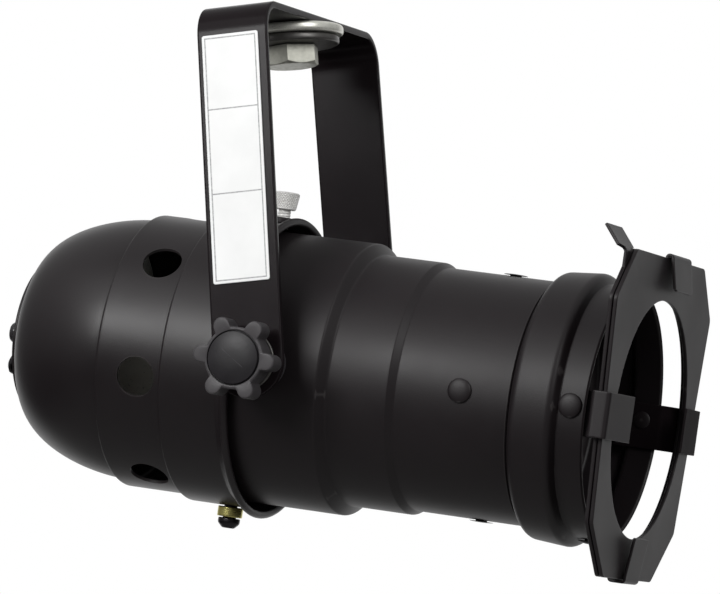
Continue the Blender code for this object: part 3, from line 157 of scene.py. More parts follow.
def strap(line, halfWidths, thick, edge=0.25, steps=3, hold=0.3):
    # A bar of rounded rectangular section swept along a flat line (p, q): its width runs along
    # the first axis, w; its thickness lies on both sides of the line. Grid (w, p, q). Each of the
    # section's corners is an arc, and each wide face has a point at the hold distance from either
    # arc. The section shrinks to a point at both ends, so that they close.
    line, halfWidths = cappedLine(line, np.broadcast_to(halfWidths, (len(line),)), edge)
    half = np.maximum(halfWidths, 1e-4)[:, None]
    rim = np.minimum(edge, half * 0.98)
    rim[[0, 1, -2, -1]] = 1e-3
    arc = np.linspace(0, math.pi / 2, steps + 1)
    across, level = [], []
    for quarter, sideW, sideT in ((0, 1, 1), (1, -1, 1), (2, -1, -1), (3, 1, -1)):
        bend = arc + quarter * math.pi / 2
        arcW = sideW * (half - rim) + rim * np.cos(bend)
        arcT = sideT * (thick / 2 - rim) + rim * np.sin(bend)
        flatW = sideW * (half - rim - np.minimum(hold, (half - rim) / 2))
        flatT = np.full_like(flatW, sideT * thick / 2)
        across += [arcW, flatW] if quarter % 2 == 0 else [flatW, arcW]
        level += [arcT, flatT] if quarter % 2 == 0 else [flatT, arcT]
    w = np.concatenate(across + [across[0][:, :1]], 1)
    b = np.concatenate(level + [level[0][:, :1]], 1)
    shrink = np.ones(len(line))
    shrink[[0, -1]] = 0.0
    shrink[[1, -2]] = 1 - 2 * edge / thick
    narrow = np.where(shrink < 1, 1 - edge / np.maximum(half[:, 0], edge), 1.0)
    w = w * np.where(shrink == 0, 0.0, narrow)[:, None]
    points = line[:, None, :] + sidesOf(line)[:, None, :] * (b * shrink[:, None])[..., None]
    return np.concatenate([w[..., None], points], -1)


def cappedLine(line, halfWidths, edge):
    # Each end gets two more stations, so that its face closes with a rounded edge, and a tiny
    # drift keeps stations in one place in order
    def ahead(a, b):
        return (b - a) / np.linalg.norm(b - a)
    first, last = ahead(line[0], line[1]) * edge, ahead(line[-1], line[-2]) * edge
    line = np.concatenate([line[:1], line[:1], line[:1] + first, line[1:-1],
                           line[-1:] + last, line[-1:], line[-1:]])
    halfWidths = np.concatenate([halfWidths[:1], halfWidths[:1], halfWidths,
                                 halfWidths[-1:], halfWidths[-1:]])
    return line + 1e-6 * np.arange(len(line))[:, None], halfWidths


def rimRows(line, sign, level, side, edge, steps, hold=0.3):
    # Rows from a closed line's side over its rounded edge on to the face, as (line, h):
    # in by edge (1 - cos a) and below the face by edge (1 - sin a), then a row on the flat
    ahead = np.roll(line, -1, 0) - np.roll(line, 1, 0)
    ahead /= np.linalg.norm(ahead, axis=1, keepdims=True)
    inward = sign * np.stack([-ahead[:, 1], ahead[:, 0]], 1)
    angles = np.linspace(0, math.pi / 2, steps + 1)
    rows = [(line + inward * edge * (1 - math.cos(a)), level - side * edge * (1 - math.sin(a)))
            for a in angles]
    return rows + [(line + inward * (edge + hold), level)]


def stacked(rows):
    # Rows of (line, h) as one grid (p, q, h)
    return np.stack([np.concatenate([flat, np.full((len(flat), 1), h)], 1) for flat, h in rows])


def slab(outline, hole, low, high, edge=0.2, steps=3):
    # A flat plate between a closed outline and a hole line with as many points: a closed section
    # of rounded edges runs from the outline to the hole and back. Grid (p, q, h).
    rows = rimRows(outline, 1, high, 1, edge, steps) + rimRows(hole, -1, high, 1, edge, steps)[::-1]
    rows += rimRows(hole, -1, low, -1, edge, steps) + rimRows(outline, 1, low, -1, edge, steps)[::-1]
    return stacked(rows + rows[:1])


def tile(outline, low, high, edge=0.2, steps=3):
    # A flat plate without a hole: from the middle of one face over the rim to that of the other
    rows = rimRows(outline, 1, high, 1, edge, steps)[::-1] + rimRows(outline, 1, low, -1, edge, steps)
    return stacked([(outline * 0, high)] + rows + [(outline * 0, low)])


def evenly(line, count):
    # A closed line resampled to count points at equal lengths
    line = np.concatenate([line, line[:1]])
    walk = np.concatenate([[0], np.cumsum(np.linalg.norm(np.diff(line, axis=0), axis=1))])
    at = np.linspace(0, walk[-1], count, endpoint=False)
    return np.stack([np.interp(at, walk, line[:, k]) for k in range(line.shape[1])], 1)


def closedRound(corners, radius, count):
    # A closed outline with every corner rounded, resampled evenly
    corners = np.asarray(corners, float)
    start = (corners[-1] + corners[0]) / 2
    line = rounded(np.concatenate([[start], corners, [start]]), radius, 10, 1e6)
    return evenly(line[:-1], count)


# Meshes

def gridFaces(rows, cols, first):
    # Quads (i, j), (i + 1, j), (i + 1, j + 1), (i, j + 1) of a rows by cols grid
    i, j = np.meshgrid(np.arange(rows - 1), np.arange(cols - 1), indexing="ij")
    corner = first + i * cols + j
    return np.stack([corner, corner + cols, corner + cols + 1, corner + 1], -1).reshape(-1, 4)


def makePiece(name, grids, material, sharp=40, weld=2e-6):
    # One mesh from one or more grids of points: doubles merged, normals out, round parts smooth
    verts, faces, count = [], [], 0
    for grid in grids:
        rows, cols = grid.shape[:2]
        verts.append(grid.reshape(-1, 3))
        faces.append(gridFaces(rows, cols, count))
        count += rows * cols
    mesh = bpy.data.meshes.new(name)
    mesh.from_pydata(np.concatenate(verts).tolist(), [], np.concatenate(faces).tolist())
    bm = bmesh.new()
    bm.from_mesh(mesh)
    bmesh.ops.remove_doubles(bm, verts=bm.verts, dist=weld)
    bmesh.ops.dissolve_degenerate(bm, edges=bm.edges, dist=weld / 2)
    bmesh.ops.recalc_face_normals(bm, faces=bm.faces)
    bm.to_mesh(mesh)
    bm.free()
    mesh.shade_smooth()
    mesh.set_sharp_from_angle(angle=math.radians(sharp))
    mesh.materials.append(material)
    piece = bpy.data.objects.new(name, mesh)
    bpy.context.scene.collection.objects.link(piece)
    return piece


def fit(piece, body, slot, *nodes):
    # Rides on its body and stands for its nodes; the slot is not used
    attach(piece, body)
    if nodes:
        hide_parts(*nodes)
    return piece


def turned(name, profile, steps, place, finish, *fitted):
    # A section (h, r) turned about the third axis, stood in its place and fitted
    piece = makePiece(name, [place(spinUp(profile, around(steps)))], finishes[finish])
    return fit(piece, *fitted)


def turnedInCan(name, profile, steps, finish, *fitted):
    # A section (s, r) turned about the can's axis and fitted
    piece = makePiece(name, [inCan(spin(profile, around(steps)))], finishes[finish])
    return fit(piece, *fitted)


def bore(piece, cutters):
    # Cuts the cutters' shapes out for good, then removes them
    for cutter in cutters:
        cut = piece.modifiers.new("bore", "BOOLEAN")
        cut.operation = "DIFFERENCE"
        cut.solver = "EXACT"
        cut.object = cutter
    shape = bpy.data.meshes.new_from_object(piece.evaluated_get(bpy.context.evaluated_depsgraph_get()))
    old = piece.data
    piece.modifiers.clear()
    piece.data = shape
    bpy.data.meshes.remove(old)
    for cutter in cutters:
        bpy.data.objects.remove(cutter)
    piece.data.set_sharp_from_angle(angle=math.radians(40))


# Materials

def newMaterial(name):
    material = bpy.data.materials.new(name)
    material.use_nodes = True
    tree = material.node_tree
    return material, tree, tree.nodes["Principled BSDF"]


def addNode(tree, kind, **settings):
    node = tree.nodes.new(kind)
    for key, value in settings.items():
        if hasattr(node, key):
            setattr(node, key, value)
        else:
            node.inputs[key.replace("_", " ")].default_value = value
    return node


def feed(tree, socket, value):
    # Another node's output is linked, a plain value is set
    if isinstance(value, bpy.types.NodeSocket):
        tree.links.new(value, socket)
    else:
        socket.default_value = value


def noiseOf(tree, scale, detail=3.0, roughness=0.55, stretch=None):
    # Noise on Object coordinates, scale in features per metre
    where = addNode(tree, "ShaderNodeTexCoord").outputs["Object"]
    if stretch:
        mapping = addNode(tree, "ShaderNodeMapping")
        mapping.inputs["Scale"].default_value = stretch
        tree.links.new(where, mapping.inputs["Vector"])
        where = mapping.outputs["Vector"]
    noise = addNode(tree, "ShaderNodeTexNoise", Scale=scale, Detail=detail, Roughness=roughness)
    tree.links.new(where, noise.inputs["Vector"])
    return noise.outputs["Fac"]


def mapped(tree, value, low, high, fromLow=0.3, fromHigh=0.7):
    # A value's range from fromLow to fromHigh moved to the range from low to high, and held there
    remap = addNode(tree, "ShaderNodeMapRange")
    for key, number in (("From Min", fromLow), ("From Max", fromHigh), ("To Min", low), ("To Max", high)):
        remap.inputs[key].default_value = number
    tree.links.new(value, remap.inputs["Value"])
    return remap.outputs["Result"]


def blended(tree, share, colourA, colourB):
    # Colour A towards colour B by a share; either may be another node's output
    mix = addNode(tree, "ShaderNodeMix", data_type="RGBA")
    for key, colour in ((6, colourA), (7, colourB)):
        feed(tree, mix.inputs[key], (*colour, 1.0) if isinstance(colour, tuple) else colour)
    tree.links.new(share, mix.inputs[0])
    return mix.outputs[2]


def mixed(tree, share, a, b):
    # Number a towards number b by a share; either may be another node's output
    mix = addNode(tree, "ShaderNodeMix", data_type="FLOAT")
    for key, value in ((0, share), (2, a), (3, b)):
        feed(tree, mix.inputs[key], value)
    return mix.outputs[0]


def calculated(tree, operation, *values):
    # One step of arithmetic on numbers or other nodes' outputs
    node = addNode(tree, "ShaderNodeMath", operation=operation)
    for socket, value in zip(node.inputs, values):
        feed(tree, socket, value)
    return node.outputs[0]


def surfaced(tree, shader, colour, rough, *heights):
    # A shader's colour, roughness and stacked bumps of (height, strength, depth in millimetres)
    tree.links.new(colour, shader.inputs["Base Color"])
    tree.links.new(rough, shader.inputs["Roughness"])
    normal = None
    for height, strength, depth in heights:
        bump = addNode(tree, "ShaderNodeBump", Strength=strength, Distance=depth * mm)
        tree.links.new(height, bump.inputs["Height"])
        if normal:
            tree.links.new(normal, bump.inputs["Normal"])
        normal = bump.outputs["Normal"]
    tree.links.new(normal, shader.inputs["Normal"])


def edgeWearAndSheen(tree, low, high):
    # 0 on flats to 1 on outward edges, from the surface's pointiness
    # The lighter edges drawn with this are partly wear and partly painted highlight on the arrises
    point = addNode(tree, "ShaderNodeNewGeometry").outputs["Pointiness"]
    return mapped(tree, point, 0.0, 1.0, low, high)


paintLook = {"base": (0.0078, 0.0054, 0.0064), "light": (0.0110, 0.0082, 0.0094),
             "edge": (0.032, 0.028, 0.029), "roughLow": 0.42, "roughHigh": 0.50, "specular": 0.30,
             "grain": 2600.0, "grainDepth": 0.05, "waves": 90.0, "waveDepth": 0.12, "patches": 28.0}
housingLook = {**paintLook, "roughLow": 0.36, "roughHigh": 0.42, "specular": 0.36}
# The yoke's far lighter edge colour is painted highlight along its arrises
yokeLook = {**paintLook, "edge": (0.10, 0.095, 0.10), "roughLow": 0.19, "roughHigh": 0.24, "specular": 0.10,
            "waveDepth": 0.06, "grainDepth": 0.03}
# A copy of the paint that reflects almost nothing, for the far clip only: its darker look is painted shade
farClipShadedLook = {**paintLook, "roughLow": 0.46, "roughHigh": 0.56, "specular": 0.012}


def paintMaterial(name, look):
    # Satin powder coat: fine orange peel, slow waves, faint patches, lighter arrises of wear and painted
    # highlight
    material, tree, shader = newMaterial(name)
    patches = noiseOf(tree, look["patches"], 4.0)
    grain = noiseOf(tree, look["grain"], 2.0, 0.6)
    waves = noiseOf(tree, look["waves"], 2.0)
    colour = blended(tree, mapped(tree, patches, 0.0, 1.0), look["base"], look["light"])
    specks = mapped(tree, noiseOf(tree, look["grain"] * 0.6, 1.0), 0.0, 0.6, 0.62, 0.78)
    colour = blended(tree, specks, colour, look["light"])
    # Lighter arrises: edge wear and painted highlight
    colour = blended(tree, edgeWearAndSheen(tree, 0.53, 0.6), colour, look["edge"])
    rough = mapped(tree, patches, look["roughLow"], look["roughHigh"])
    shader.inputs["Specular IOR Level"].default_value = look["specular"]
    surfaced(tree, shader, colour, rough, (waves, 0.25, look["waveDepth"]), (grain, 0.35, look["grainDepth"]))
    return material


plasticLook = {"base": (0.0120, 0.0110, 0.0125), "light": (0.020, 0.0185, 0.0205), "roughLow": 0.34,
               "roughHigh": 0.46, "grain": 3400.0, "specular": 0.24}
knobLook = {**plasticLook, "grip": (0.060, 0.056, 0.059), "gripFrom": 7.35, "gripTo": 7.6, "axisZ": -98.9}
glandLook = {**plasticLook, "roughLow": 0.12, "roughHigh": 0.22, "specular": 0.5}
nylonLook = {**plasticLook, "roughLow": 0.45, "roughHigh": 0.6}


def plasticMaterial(name, look):
    # Moulded plastic: spark-eroded grain, lighter arrises of scuffs and painted highlight; a knob's grip,
    # beyond a radius from its axis, is lighter
    material, tree, shader = newMaterial(name)
    patches = noiseOf(tree, 160.0, 4.0)
    grain = noiseOf(tree, look["grain"], 2.0, 0.6)
    colour = blended(tree, mapped(tree, patches, 0.0, 1.0), look["base"], look["light"])
    if "grip" in look:
        axis = addNode(tree, "ShaderNodeMapping")
        tree.links.new(addNode(tree, "ShaderNodeTexCoord").outputs["Object"], axis.inputs["Vector"])
        axis.inputs["Location"].default_value = (0, 0, -look["axisZ"] * mm)
        axis.inputs["Scale"].default_value = (0, 1, 1)
        away = addNode(tree, "ShaderNodeVectorMath", operation="LENGTH")
        tree.links.new(axis.outputs["Vector"], away.inputs[0])
        grip = mapped(tree, away.outputs["Value"], 0.0, 1.0, look["gripFrom"] * mm, look["gripTo"] * mm)
        # The grip beyond a radius from the axis is lighter
        gripTone = blended(tree, mapped(tree, patches, 0.0, 0.5), look["grip"], look["light"])
        colour = blended(tree, grip, colour, gripTone)
    # Lighter arrises: scuffs and painted highlight
    colour = blended(tree, edgeWearAndSheen(tree, 0.55, 0.68), colour, tuple(2.2 * part for part in look["light"]))
    rough = mapped(tree, grain, look["roughLow"], look["roughHigh"])
    shader.inputs["Specular IOR Level"].default_value = look["specular"]
    surfaced(tree, shader, colour, rough, (grain, 0.3, 0.04))
    return material


def metalMaterial(name, base, dark, roughLow, roughHigh, spangle=420.0, metallic=1.0):
    # Plated metal: cloudy plating, hairline marks, painted shade in hollows; less metallic platings are
    # lighter
    material, tree, shader = newMaterial(name)
    clouds = noiseOf(tree, spangle, 5.0, 0.6)
    lines = noiseOf(tree, 900.0, 2.0, 0.5, (1.0, 1.0, 12.0))
    colour = blended(tree, mapped(tree, clouds, 0.0, 0.7), base, dark)
    # Hollows darker: painted shade
    hollow = addNode(tree, "ShaderNodeNewGeometry").outputs["Pointiness"]
    hollowShade = mapped(tree, hollow, 0.5, 0.0, 0.42, 0.5)
    colour = blended(tree, hollowShade, colour, tuple(0.25 * part for part in dark))
    rough = mapped(tree, lines, roughLow, roughHigh)
    shader.inputs["Metallic"].default_value = metallic
    surfaced(tree, shader, colour, rough, (clouds, 0.12, 0.04), (lines, 0.18, 0.02))
    return material


def glazedMaterial(name, base, dark, rough):
    # Glazed or moulded pale part with specks
    material, tree, shader = newMaterial(name)
    clouds = noiseOf(tree, 120.0, 4.0)
    specks = mapped(tree, noiseOf(tree, 1500.0, 1.0), 0.0, 0.7, 0.68, 0.76)
    colour = blended(tree, mapped(tree, clouds, 0.0, 1.0), base, dark)
    colour = blended(tree, specks, colour, tuple(0.4 * part for part in dark))
    surfaced(tree, shader, colour, mapped(tree, clouds, rough, rough + 0.12), (clouds, 0.2, 0.05))
    return material


def glassMaterial(name):
    # Pressed lens glass: stippled inside, clear and slightly green at the edge
    material, tree, shader = newMaterial(name)
    stipple = addNode(tree, "ShaderNodeTexVoronoi", Scale=620.0)
    tree.links.new(addNode(tree, "ShaderNodeTexCoord").outputs["Object"], stipple.inputs["Vector"])
    cloudy = mapped(tree, noiseOf(tree, 60.0), 0.0, 1.0)
    colour = blended(tree, cloudy, (0.93, 0.96, 0.95), (0.88, 0.93, 0.91))
    rough = mapped(tree, noiseOf(tree, 200.0), 0.03, 0.12)
    shader.inputs["Transmission Weight"].default_value = 0.9
    shader.inputs["IOR"].default_value = 1.47
    surfaced(tree, shader, colour, rough, (stipple.outputs["Distance"], 0.5, 0.3))
    return material


labelLook = {"paper": (0.86, 0.865, 0.86), "shade": (0.79, 0.795, 0.79), "ink": (0.20, 0.20, 0.21),
             "inset": 0.055, "lineWide": 0.022, "dividers": (0.30, 0.64), "rough": 0.5}


def labelMaterial(name, look):
    # Plain vinyl label on its own UV map: a thin ruled border and two cross lines, nothing written.
    # A line is 1 where |value - place| < half its width, and lines end at the border.
    material, tree, shader = newMaterial(name)
    where = addNode(tree, "ShaderNodeSeparateXYZ")
    tree.links.new(addNode(tree, "ShaderNodeUVMap", uv_map="face").outputs["UV"], where.inputs["Vector"])

    def within(value, place, reach):
        away = calculated(tree, "ABSOLUTE", calculated(tree, "SUBTRACT", value, place))
        return calculated(tree, "LESS_THAN", away, reach)
    across, along = where.outputs["X"], where.outputs["Y"]
    ratio = label["width"] / label["length"]
    inset, wide = look["inset"], look["lineWide"]
    marks = [within(across, place, wide / 2) for place in (inset, 1 - inset)]
    marks += [within(along, place, wide * ratio / 2)
              for place in (inset * ratio, 1 - inset * ratio, *look["dividers"])]
    ink = marks[0]
    for mark in marks[1:]:
        ink = calculated(tree, "MAXIMUM", ink, mark)
    inside = calculated(tree, "MULTIPLY", within(across, 0.5, 0.5 - inset + wide / 2),
                        within(along, 0.5, 0.5 - (inset - wide / 2) * ratio))
    grain = noiseOf(tree, 1800.0, 2.0)
    paper = blended(tree, mapped(tree, noiseOf(tree, 70.0, 3.0), 0.0, 1.0), look["paper"], look["shade"])
    ink = calculated(tree, "MULTIPLY", ink, inside)
    ink = calculated(tree, "MULTIPLY", ink, mapped(tree, grain, 0.55, 0.9))
    colour = blended(tree, ink, paper, look["ink"])
    rough = mapped(tree, grain, look["rough"], look["rough"] + 0.1)
    surfaced(tree, shader, colour, rough, (noiseOf(tree, 120.0, 2.0), 0.2, 0.08))
    return material


label = {"width": 16.15, "length": 67.7, "thick": 0.4, "top": 10.0, "aside": 0.4, "corner": 0.3, "gap": 0.1}
finishes = {
    "paint": paintMaterial("blackPowderCoat", paintLook),
    "housingPaint": paintMaterial("housingPowderCoat", housingLook),
    "yokePaint": paintMaterial("yokePowderCoat", yokeLook),
    "farClipShadedPaint": paintMaterial("farClipShadedPowderCoat", farClipShadedLook),
    "plastic": plasticMaterial("blackPlastic", plasticLook),
    "knobPlastic": plasticMaterial("knobPlastic", knobLook),
    "gland": plasticMaterial("glandPlastic", glandLook),
    "label": labelMaterial("plainLabel", labelLook),
    "nickel": metalMaterial("brightNickel", (0.9, 0.89, 0.86), (0.74, 0.73, 0.7), 0.28, 0.42, 420.0, 0.55),
    # The thumbscrew's lighter, nearly diffuse copy of the nickel is painted highlight
    "thumbscrewLit": metalMaterial("thumbscrewLitNickel", (0.93, 0.92, 0.9), (0.82, 0.81, 0.78), 0.34, 0.48, 420.0, 0.2),
    "zinc": metalMaterial("clearZinc", (0.88, 0.88, 0.81), (0.68, 0.68, 0.61), 0.26, 0.42, 420.0, 0.6),
    "boltHead": metalMaterial("dullZinc", (0.52, 0.52, 0.46), (0.36, 0.36, 0.31), 0.36, 0.52, 600.0, 0.6),
    "yellowZinc": metalMaterial("yellowZinc", (0.70, 0.66, 0.26), (0.50, 0.40, 0.10), 0.22, 0.36),
    "darkSteel": metalMaterial("darkSteel", (0.15, 0.145, 0.14), (0.09, 0.085, 0.08), 0.3, 0.45, 420.0, 0.7),
    "blackSteel": metalMaterial("blackSteel", (0.045, 0.043, 0.045), (0.03, 0.028, 0.03), 0.28, 0.4),
    "nylon": plasticMaterial("blackNylon", nylonLook),
    "reflector": metalMaterial("mirrorReflector", (0.86, 0.86, 0.85), (0.72, 0.72, 0.71), 0.06, 0.16, 180.0),
    "glass": glassMaterial("lensGlass"),
    "brass": metalMaterial("brass", (0.78, 0.58, 0.25), (0.55, 0.38, 0.14), 0.24, 0.38),
    "porcelain": glazedMaterial("porcelain", (0.74, 0.72, 0.66), (0.64, 0.61, 0.54), 0.22),
    "brown": glazedMaterial("brownSleeve", (0.16, 0.07, 0.035), (0.11, 0.045, 0.02), 0.42),
    "blue": glazedMaterial("blueSleeve", (0.03, 0.11, 0.36), (0.02, 0.07, 0.26), 0.42),
    "green": glazedMaterial("greenSleeve", (0.22, 0.36, 0.06), (0.12, 0.25, 0.03), 0.42),
}
print("materials made:", len(finishes))


# Yoke, label and hanging bolt

yoke = {"halfWidth": 10.0, "thick": 2.0, "drop": 98.9, "topHalf": 46.1, "pivotHalf": 48.8, "bend": 9.0,
        "edge": 0.42, "nearSag": 1.3, "boltHole": 5.35, "besideBolt": 8.0, "pivotHole": 3.35,
        "overPivot": 4.0}
armSlope = (yoke["pivotHalf"] - yoke["topHalf"]) / (yoke["drop"] - yoke["bend"])


def armOut(z):
    # Outer face of an arm at a height: it splays from topHalf at the bend to pivotHalf at the axis
    return yoke["topHalf"] + armSlope * (-z - yoke["bend"])


def makeYoke():
    # Outer line up the near arm, over the crossbar, which sags towards it, and down the far arm, with
    # stations beside the holes. The half width near an end is sqrt(w^2 - (w - d)^2) at a distance d
    # from it, so the ends are round.
    w, end = yoke["halfWidth"], -yoke["drop"] - yoke["halfWidth"]
    low, beside, sag = yoke["overPivot"] - yoke["drop"], yoke["besideBolt"], yoke["nearSag"]
    slope = sag / 2 / armOut(0)
    corners = [(-armOut(end), end), (-armOut(low), low), (-armOut(0), -sag),
               (-beside, -sag / 2 - slope * beside), (beside, -sag / 2 + slope * beside),
               (armOut(0), 0), (armOut(low), low), (armOut(end), end)]
    line = rounded(corners, yoke["bend"], 16, 1.5)
    d = w * (1 - np.cos(np.linspace(0, math.pi / 2, 22)))
    arm = np.array(corners[1]) - np.array(corners[0])
    arm /= np.linalg.norm(arm)
    flip = np.array([-1, 1])
    nearEnd = np.array(corners[0]) + d[:, None] * arm
    line = np.concatenate([nearEnd, line[2:-2], (nearEnd * flip)[::-1]])
    outerToMid = sidesOf(line) * yoke["thick"] / 2
    half = np.sqrt(np.maximum(w ** 2 - (w - d) ** 2, 1e-4))
    half = np.concatenate([half, np.full(len(line) - 2 * len(d), w), half[::-1]])
    grid = strap(line + outerToMid, half, yoke["thick"], yoke["edge"], 4)
    piece = makePiece("yokeBar", [inRow(grid[..., [1, 0, 2]])], finishes["yokePaint"])
    cutters = [cutterRod((0, 0, 0), (0, 0, 1), yoke["boltHole"])]
    cutters += [cutterRod((side * yoke["pivotHalf"], 0, -yoke["drop"]), (1, 0, 0), yoke["pivotHole"])
                for side in (-1, 1)]
    bore(piece, cutters)
    return fit(piece, "yoke", "black_paint", "yoke")


def cutterRod(point, way, radius, length=10.0, place=inRow):
    # Closed rod for a bore, through a point along a direction
    profile = np.array([(-length / 2, 0), (-length / 2, radius), (length / 2, radius), (length / 2, 0)])
    grid = spinUp(profile, around(72))
    turnTo = np.array(Vector((0, 0, 1)).rotation_difference(Vector(way)).to_matrix())
    return makePiece("boreRod", [place(grid @ turnTo.T + np.array(point))], finishes["paint"])


def makeLabel():
    # A thin plate with rounded corners on the near arm; its UV runs 0 to 1 across and down
    middle = -label["top"] - label["length"] / 2
    w, h = label["width"] / 2, label["length"] / 2
    outline = closedRound([(w, h), (-w, h), (-w, -h), (w, -h)], label["corner"], 240)
    grid = tile(outline, 0.0, label["thick"], 0.1, 2)
    grid = np.concatenate([grid, grid[:, :1]], 1)
    z = middle + grid[..., 1]
    x = -(armOut(middle) + label["gap"] + grid[..., 2] - armSlope * grid[..., 1])
    points = np.stack([x, grid[..., 0] + label["aside"], z], -1)
    piece = makePiece("labelPlate", [inRow(points)], finishes["label"], 50)
    paintUv(piece, w, h, middle)
    return fit(piece, "yoke", "white_label", "label_plate")


def paintUv(piece, w, h, middle):
    # u = (y - left) / width, v = (top - z) / height at every corner
    mesh = piece.data
    where = np.empty(len(mesh.vertices) * 3)
    mesh.vertices.foreach_get("co", where)
    where = where.reshape(-1, 3) / mm
    corner = np.empty(len(mesh.loops), int)
    mesh.loops.foreach_get("vertex_index", corner)
    u = (where[corner, 1] - label["aside"] + w) / (2 * w)
    v = (middle + h - where[corner, 2]) / (2 * h)
    mesh.uv_layers.new(name="face").data.foreach_set("uv", np.stack([u, v], 1).ravel())


bolt = {"radius": 5.0, "across": 14.2, "head": 5.3, "top": -8.3, "reach": 1.2, "turnDeg": 13.4, "pitch": 1.5,
        "threadDepth": 0.35, "threadLow": -2.0, "chamfer": 0.9, "chamferDeg": 30.0, "faceShare": 0.97}
washers = {"zincTop": -3.0, "zincRadius": 15.0, "zincThick": 2.6, "darkTop": -5.9, "darkRadius": 13.7,
           "darkThick": 2.1, "hole": 5.35}


def ringProfile(low, high, inner, outer, edge):
    # Closed section of a washer with rounded edges, (h, r)
    corners = [((low + high) / 2, inner), (low, inner), (low, outer), (high, outer), (high, inner),
               ((low + high) / 2, inner)]
    return rounded(corners, [edge * 0.5, edge, edge, edge * 0.5], 5, 0.3)


def makeWashers():
    # Two rounded ring sections turned about the bolt
    zinc = ringProfile(washers["zincTop"] - washers["zincThick"], washers["zincTop"], washers["hole"],
                       washers["zincRadius"], 0.9)
    dark = ringProfile(washers["darkTop"] - washers["darkThick"], washers["darkTop"], washers["hole"],
                       washers["darkRadius"], 0.7)
    turned("zincWasher", zinc, 160, inRow, "zinc", "yoke", "zinc", "zinc_washer")
    turned("darkWasher", dark, 160, inRow, "darkSteel", "yoke", "dark_steel", "dark_washer")


def threaded(low, high, radius, depth, pitch, steps=64):
    # r = radius - depth * |2 frac(h / pitch - a / 2 pi) - 1|, run out to radius - depth over half
    # a pitch at both flat closed ends
    h = np.linspace(low, high, max(8, int((high - low) / pitch * 10)))
    angles = around(steps)
    fade = np.minimum(np.minimum(h - low, high - h) / (pitch / 2), 1.0)[:, None]
    wave = np.abs(2 * ((h[:, None] / pitch - angles / turn) % 1.0) - 1)
    r = radius - depth * (1 - fade) - depth * wave * fade
    grid = np.stack([r * np.cos(angles), r * np.sin(angles), h[:, None] + 0 * angles], -1)
    ends = [np.stack([0 * angles, 0 * angles, level + 0 * angles], -1)[None] for level in (low, high)]
    return np.concatenate([ends[0], grid, ends[1]])


def makeBolt():
    # Head: r = min(half across flats / cos(a folded to one flat), cone radius at h); a corner of
    # the hexagon lies on the turn angle
    start = math.radians(bolt["turnDeg"])
    angles = around(192, start)
    flat, low, high = bolt["across"] / 2, bolt["top"] - bolt["head"], bolt["top"]
    fold = (angles - start) % (math.pi / 3) - math.pi / 6
    shoulder = low + bolt["chamfer"]
    h = np.concatenate([np.linspace(low, shoulder, 8), np.linspace(shoulder, high, 5)[1:]])
    cone = flat * bolt["faceShare"] + (h - low)[:, None] / math.tan(math.radians(bolt["chamferDeg"]))
    r = np.minimum(flat / np.cos(fold), cone)
    grid = np.stack([r * np.cos(angles), r * np.sin(angles), h[:, None] + 0 * angles], -1)
    inner = np.stack([grid[0] * [0.8, 0.8, 1], grid[0] * [0, 0, 1]])[::-1]
    shank = spinUp(np.array([(high, bolt["radius"])]), angles)
    tip = threaded(bolt["threadLow"], bolt["reach"], bolt["radius"], bolt["threadDepth"], bolt["pitch"], 192)
    grid = np.concatenate([inner, grid, shank, tip[1:]])
    piece = makePiece("hangingBolt", [inRow(grid)], finishes["boltHead"], 30)
    return fit(piece, "hanging_bolt", "zinc", "hanging_bolt")


makeYoke()
makeLabel()
makeWashers()
makeBolt()
print("yoke, label and hanging bolt made")


# Front tube, bezel and rivets

tube = {"rearS": -27.6, "noseS": 69.0, "bodyR": 37.6, "middleR": 34.75, "noseR": 33.5,
        "stepOneS": (15.8, 18.2), "stepTwoS": (35.2, 37.2), "besidePivot": 5.0, "sheet": 0.9, "segments": 256}
bezel = {"sleeveRearS": 50.0, "sleeveR": 32.3, "shoulderS": 69.3, "startS": 69.8, "startR": 34.1,
         "bandRearS": 71.1, "bandRearR": 36.5, "bandFrontS": 82.0, "bandFrontR": 37.4, "ringRearS": 83.6,
         "ringR": 34.6, "frontS": 91.1, "lip": 0.5, "lipIn": 0.35, "rearRound": 2.2, "frontRound": 2.4,
         "sheet": 0.9}


def makeTube():
    # Sheet in three diameters turned about the axis, (x, s, u) = (r cos a, s, r sin a), with stations
    # beside the two holes bored for the pivots
    body, middle, nose, beside = tube["bodyR"], tube["middleR"], tube["noseR"], tube["besidePivot"]
    one, two = tube["stepOneS"], tube["stepTwoS"]
    corners = [(tube["rearS"], body), (-beside, body), (beside, body), (one[0], body), (one[1], middle),
               (two[0], middle), (two[1], nose), (tube["noseS"], nose)]
    outer = rounded(corners, [0, 0, 0.9, 0.9, 0.8, 0.9], 8, 0.5)
    profile = sheetLoop(outer, tube["sheet"])
    piece = makePiece("frontTube", [inCan(spin(profile, around(tube["segments"])))], finishes["paint"])
    bore(piece, [cutterRod((0, 0, body), (0, 0, 1), yoke["pivotHole"], 4.0, standing(degrees))
                 for degrees in (0, 180)])
    return fit(piece, "can", "black_paint", "front_tube")


def bezelLine():
    # Sleeve in the tube, a step out to a band that widens forwards, back in to the short front ring
    corners = [(bezel["sleeveRearS"], bezel["sleeveR"]), (bezel["shoulderS"], bezel["sleeveR"]),
               (bezel["startS"], bezel["startR"]), (bezel["bandRearS"], bezel["bandRearR"]),
               (bezel["bandFrontS"], bezel["bandFrontR"]), (bezel["ringRearS"], bezel["ringR"]),
               (bezel["frontS"] - bezel["lip"], bezel["ringR"]),
               (bezel["frontS"], bezel["ringR"] - bezel["lipIn"])]
    return rounded(corners, [0.4, 0.5, bezel["rearRound"], bezel["frontRound"], 0.5, 0.4], 9, 0.4)


def makeBezel():
    # Sheet along bezelLine turned about the axis
    profile = sheetLoop(bezelLine(), bezel["sheet"], 0.15)
    turnedInCan("frontBezel", profile, tube["segments"], "paint", "can", "black_paint", "front_bezel")


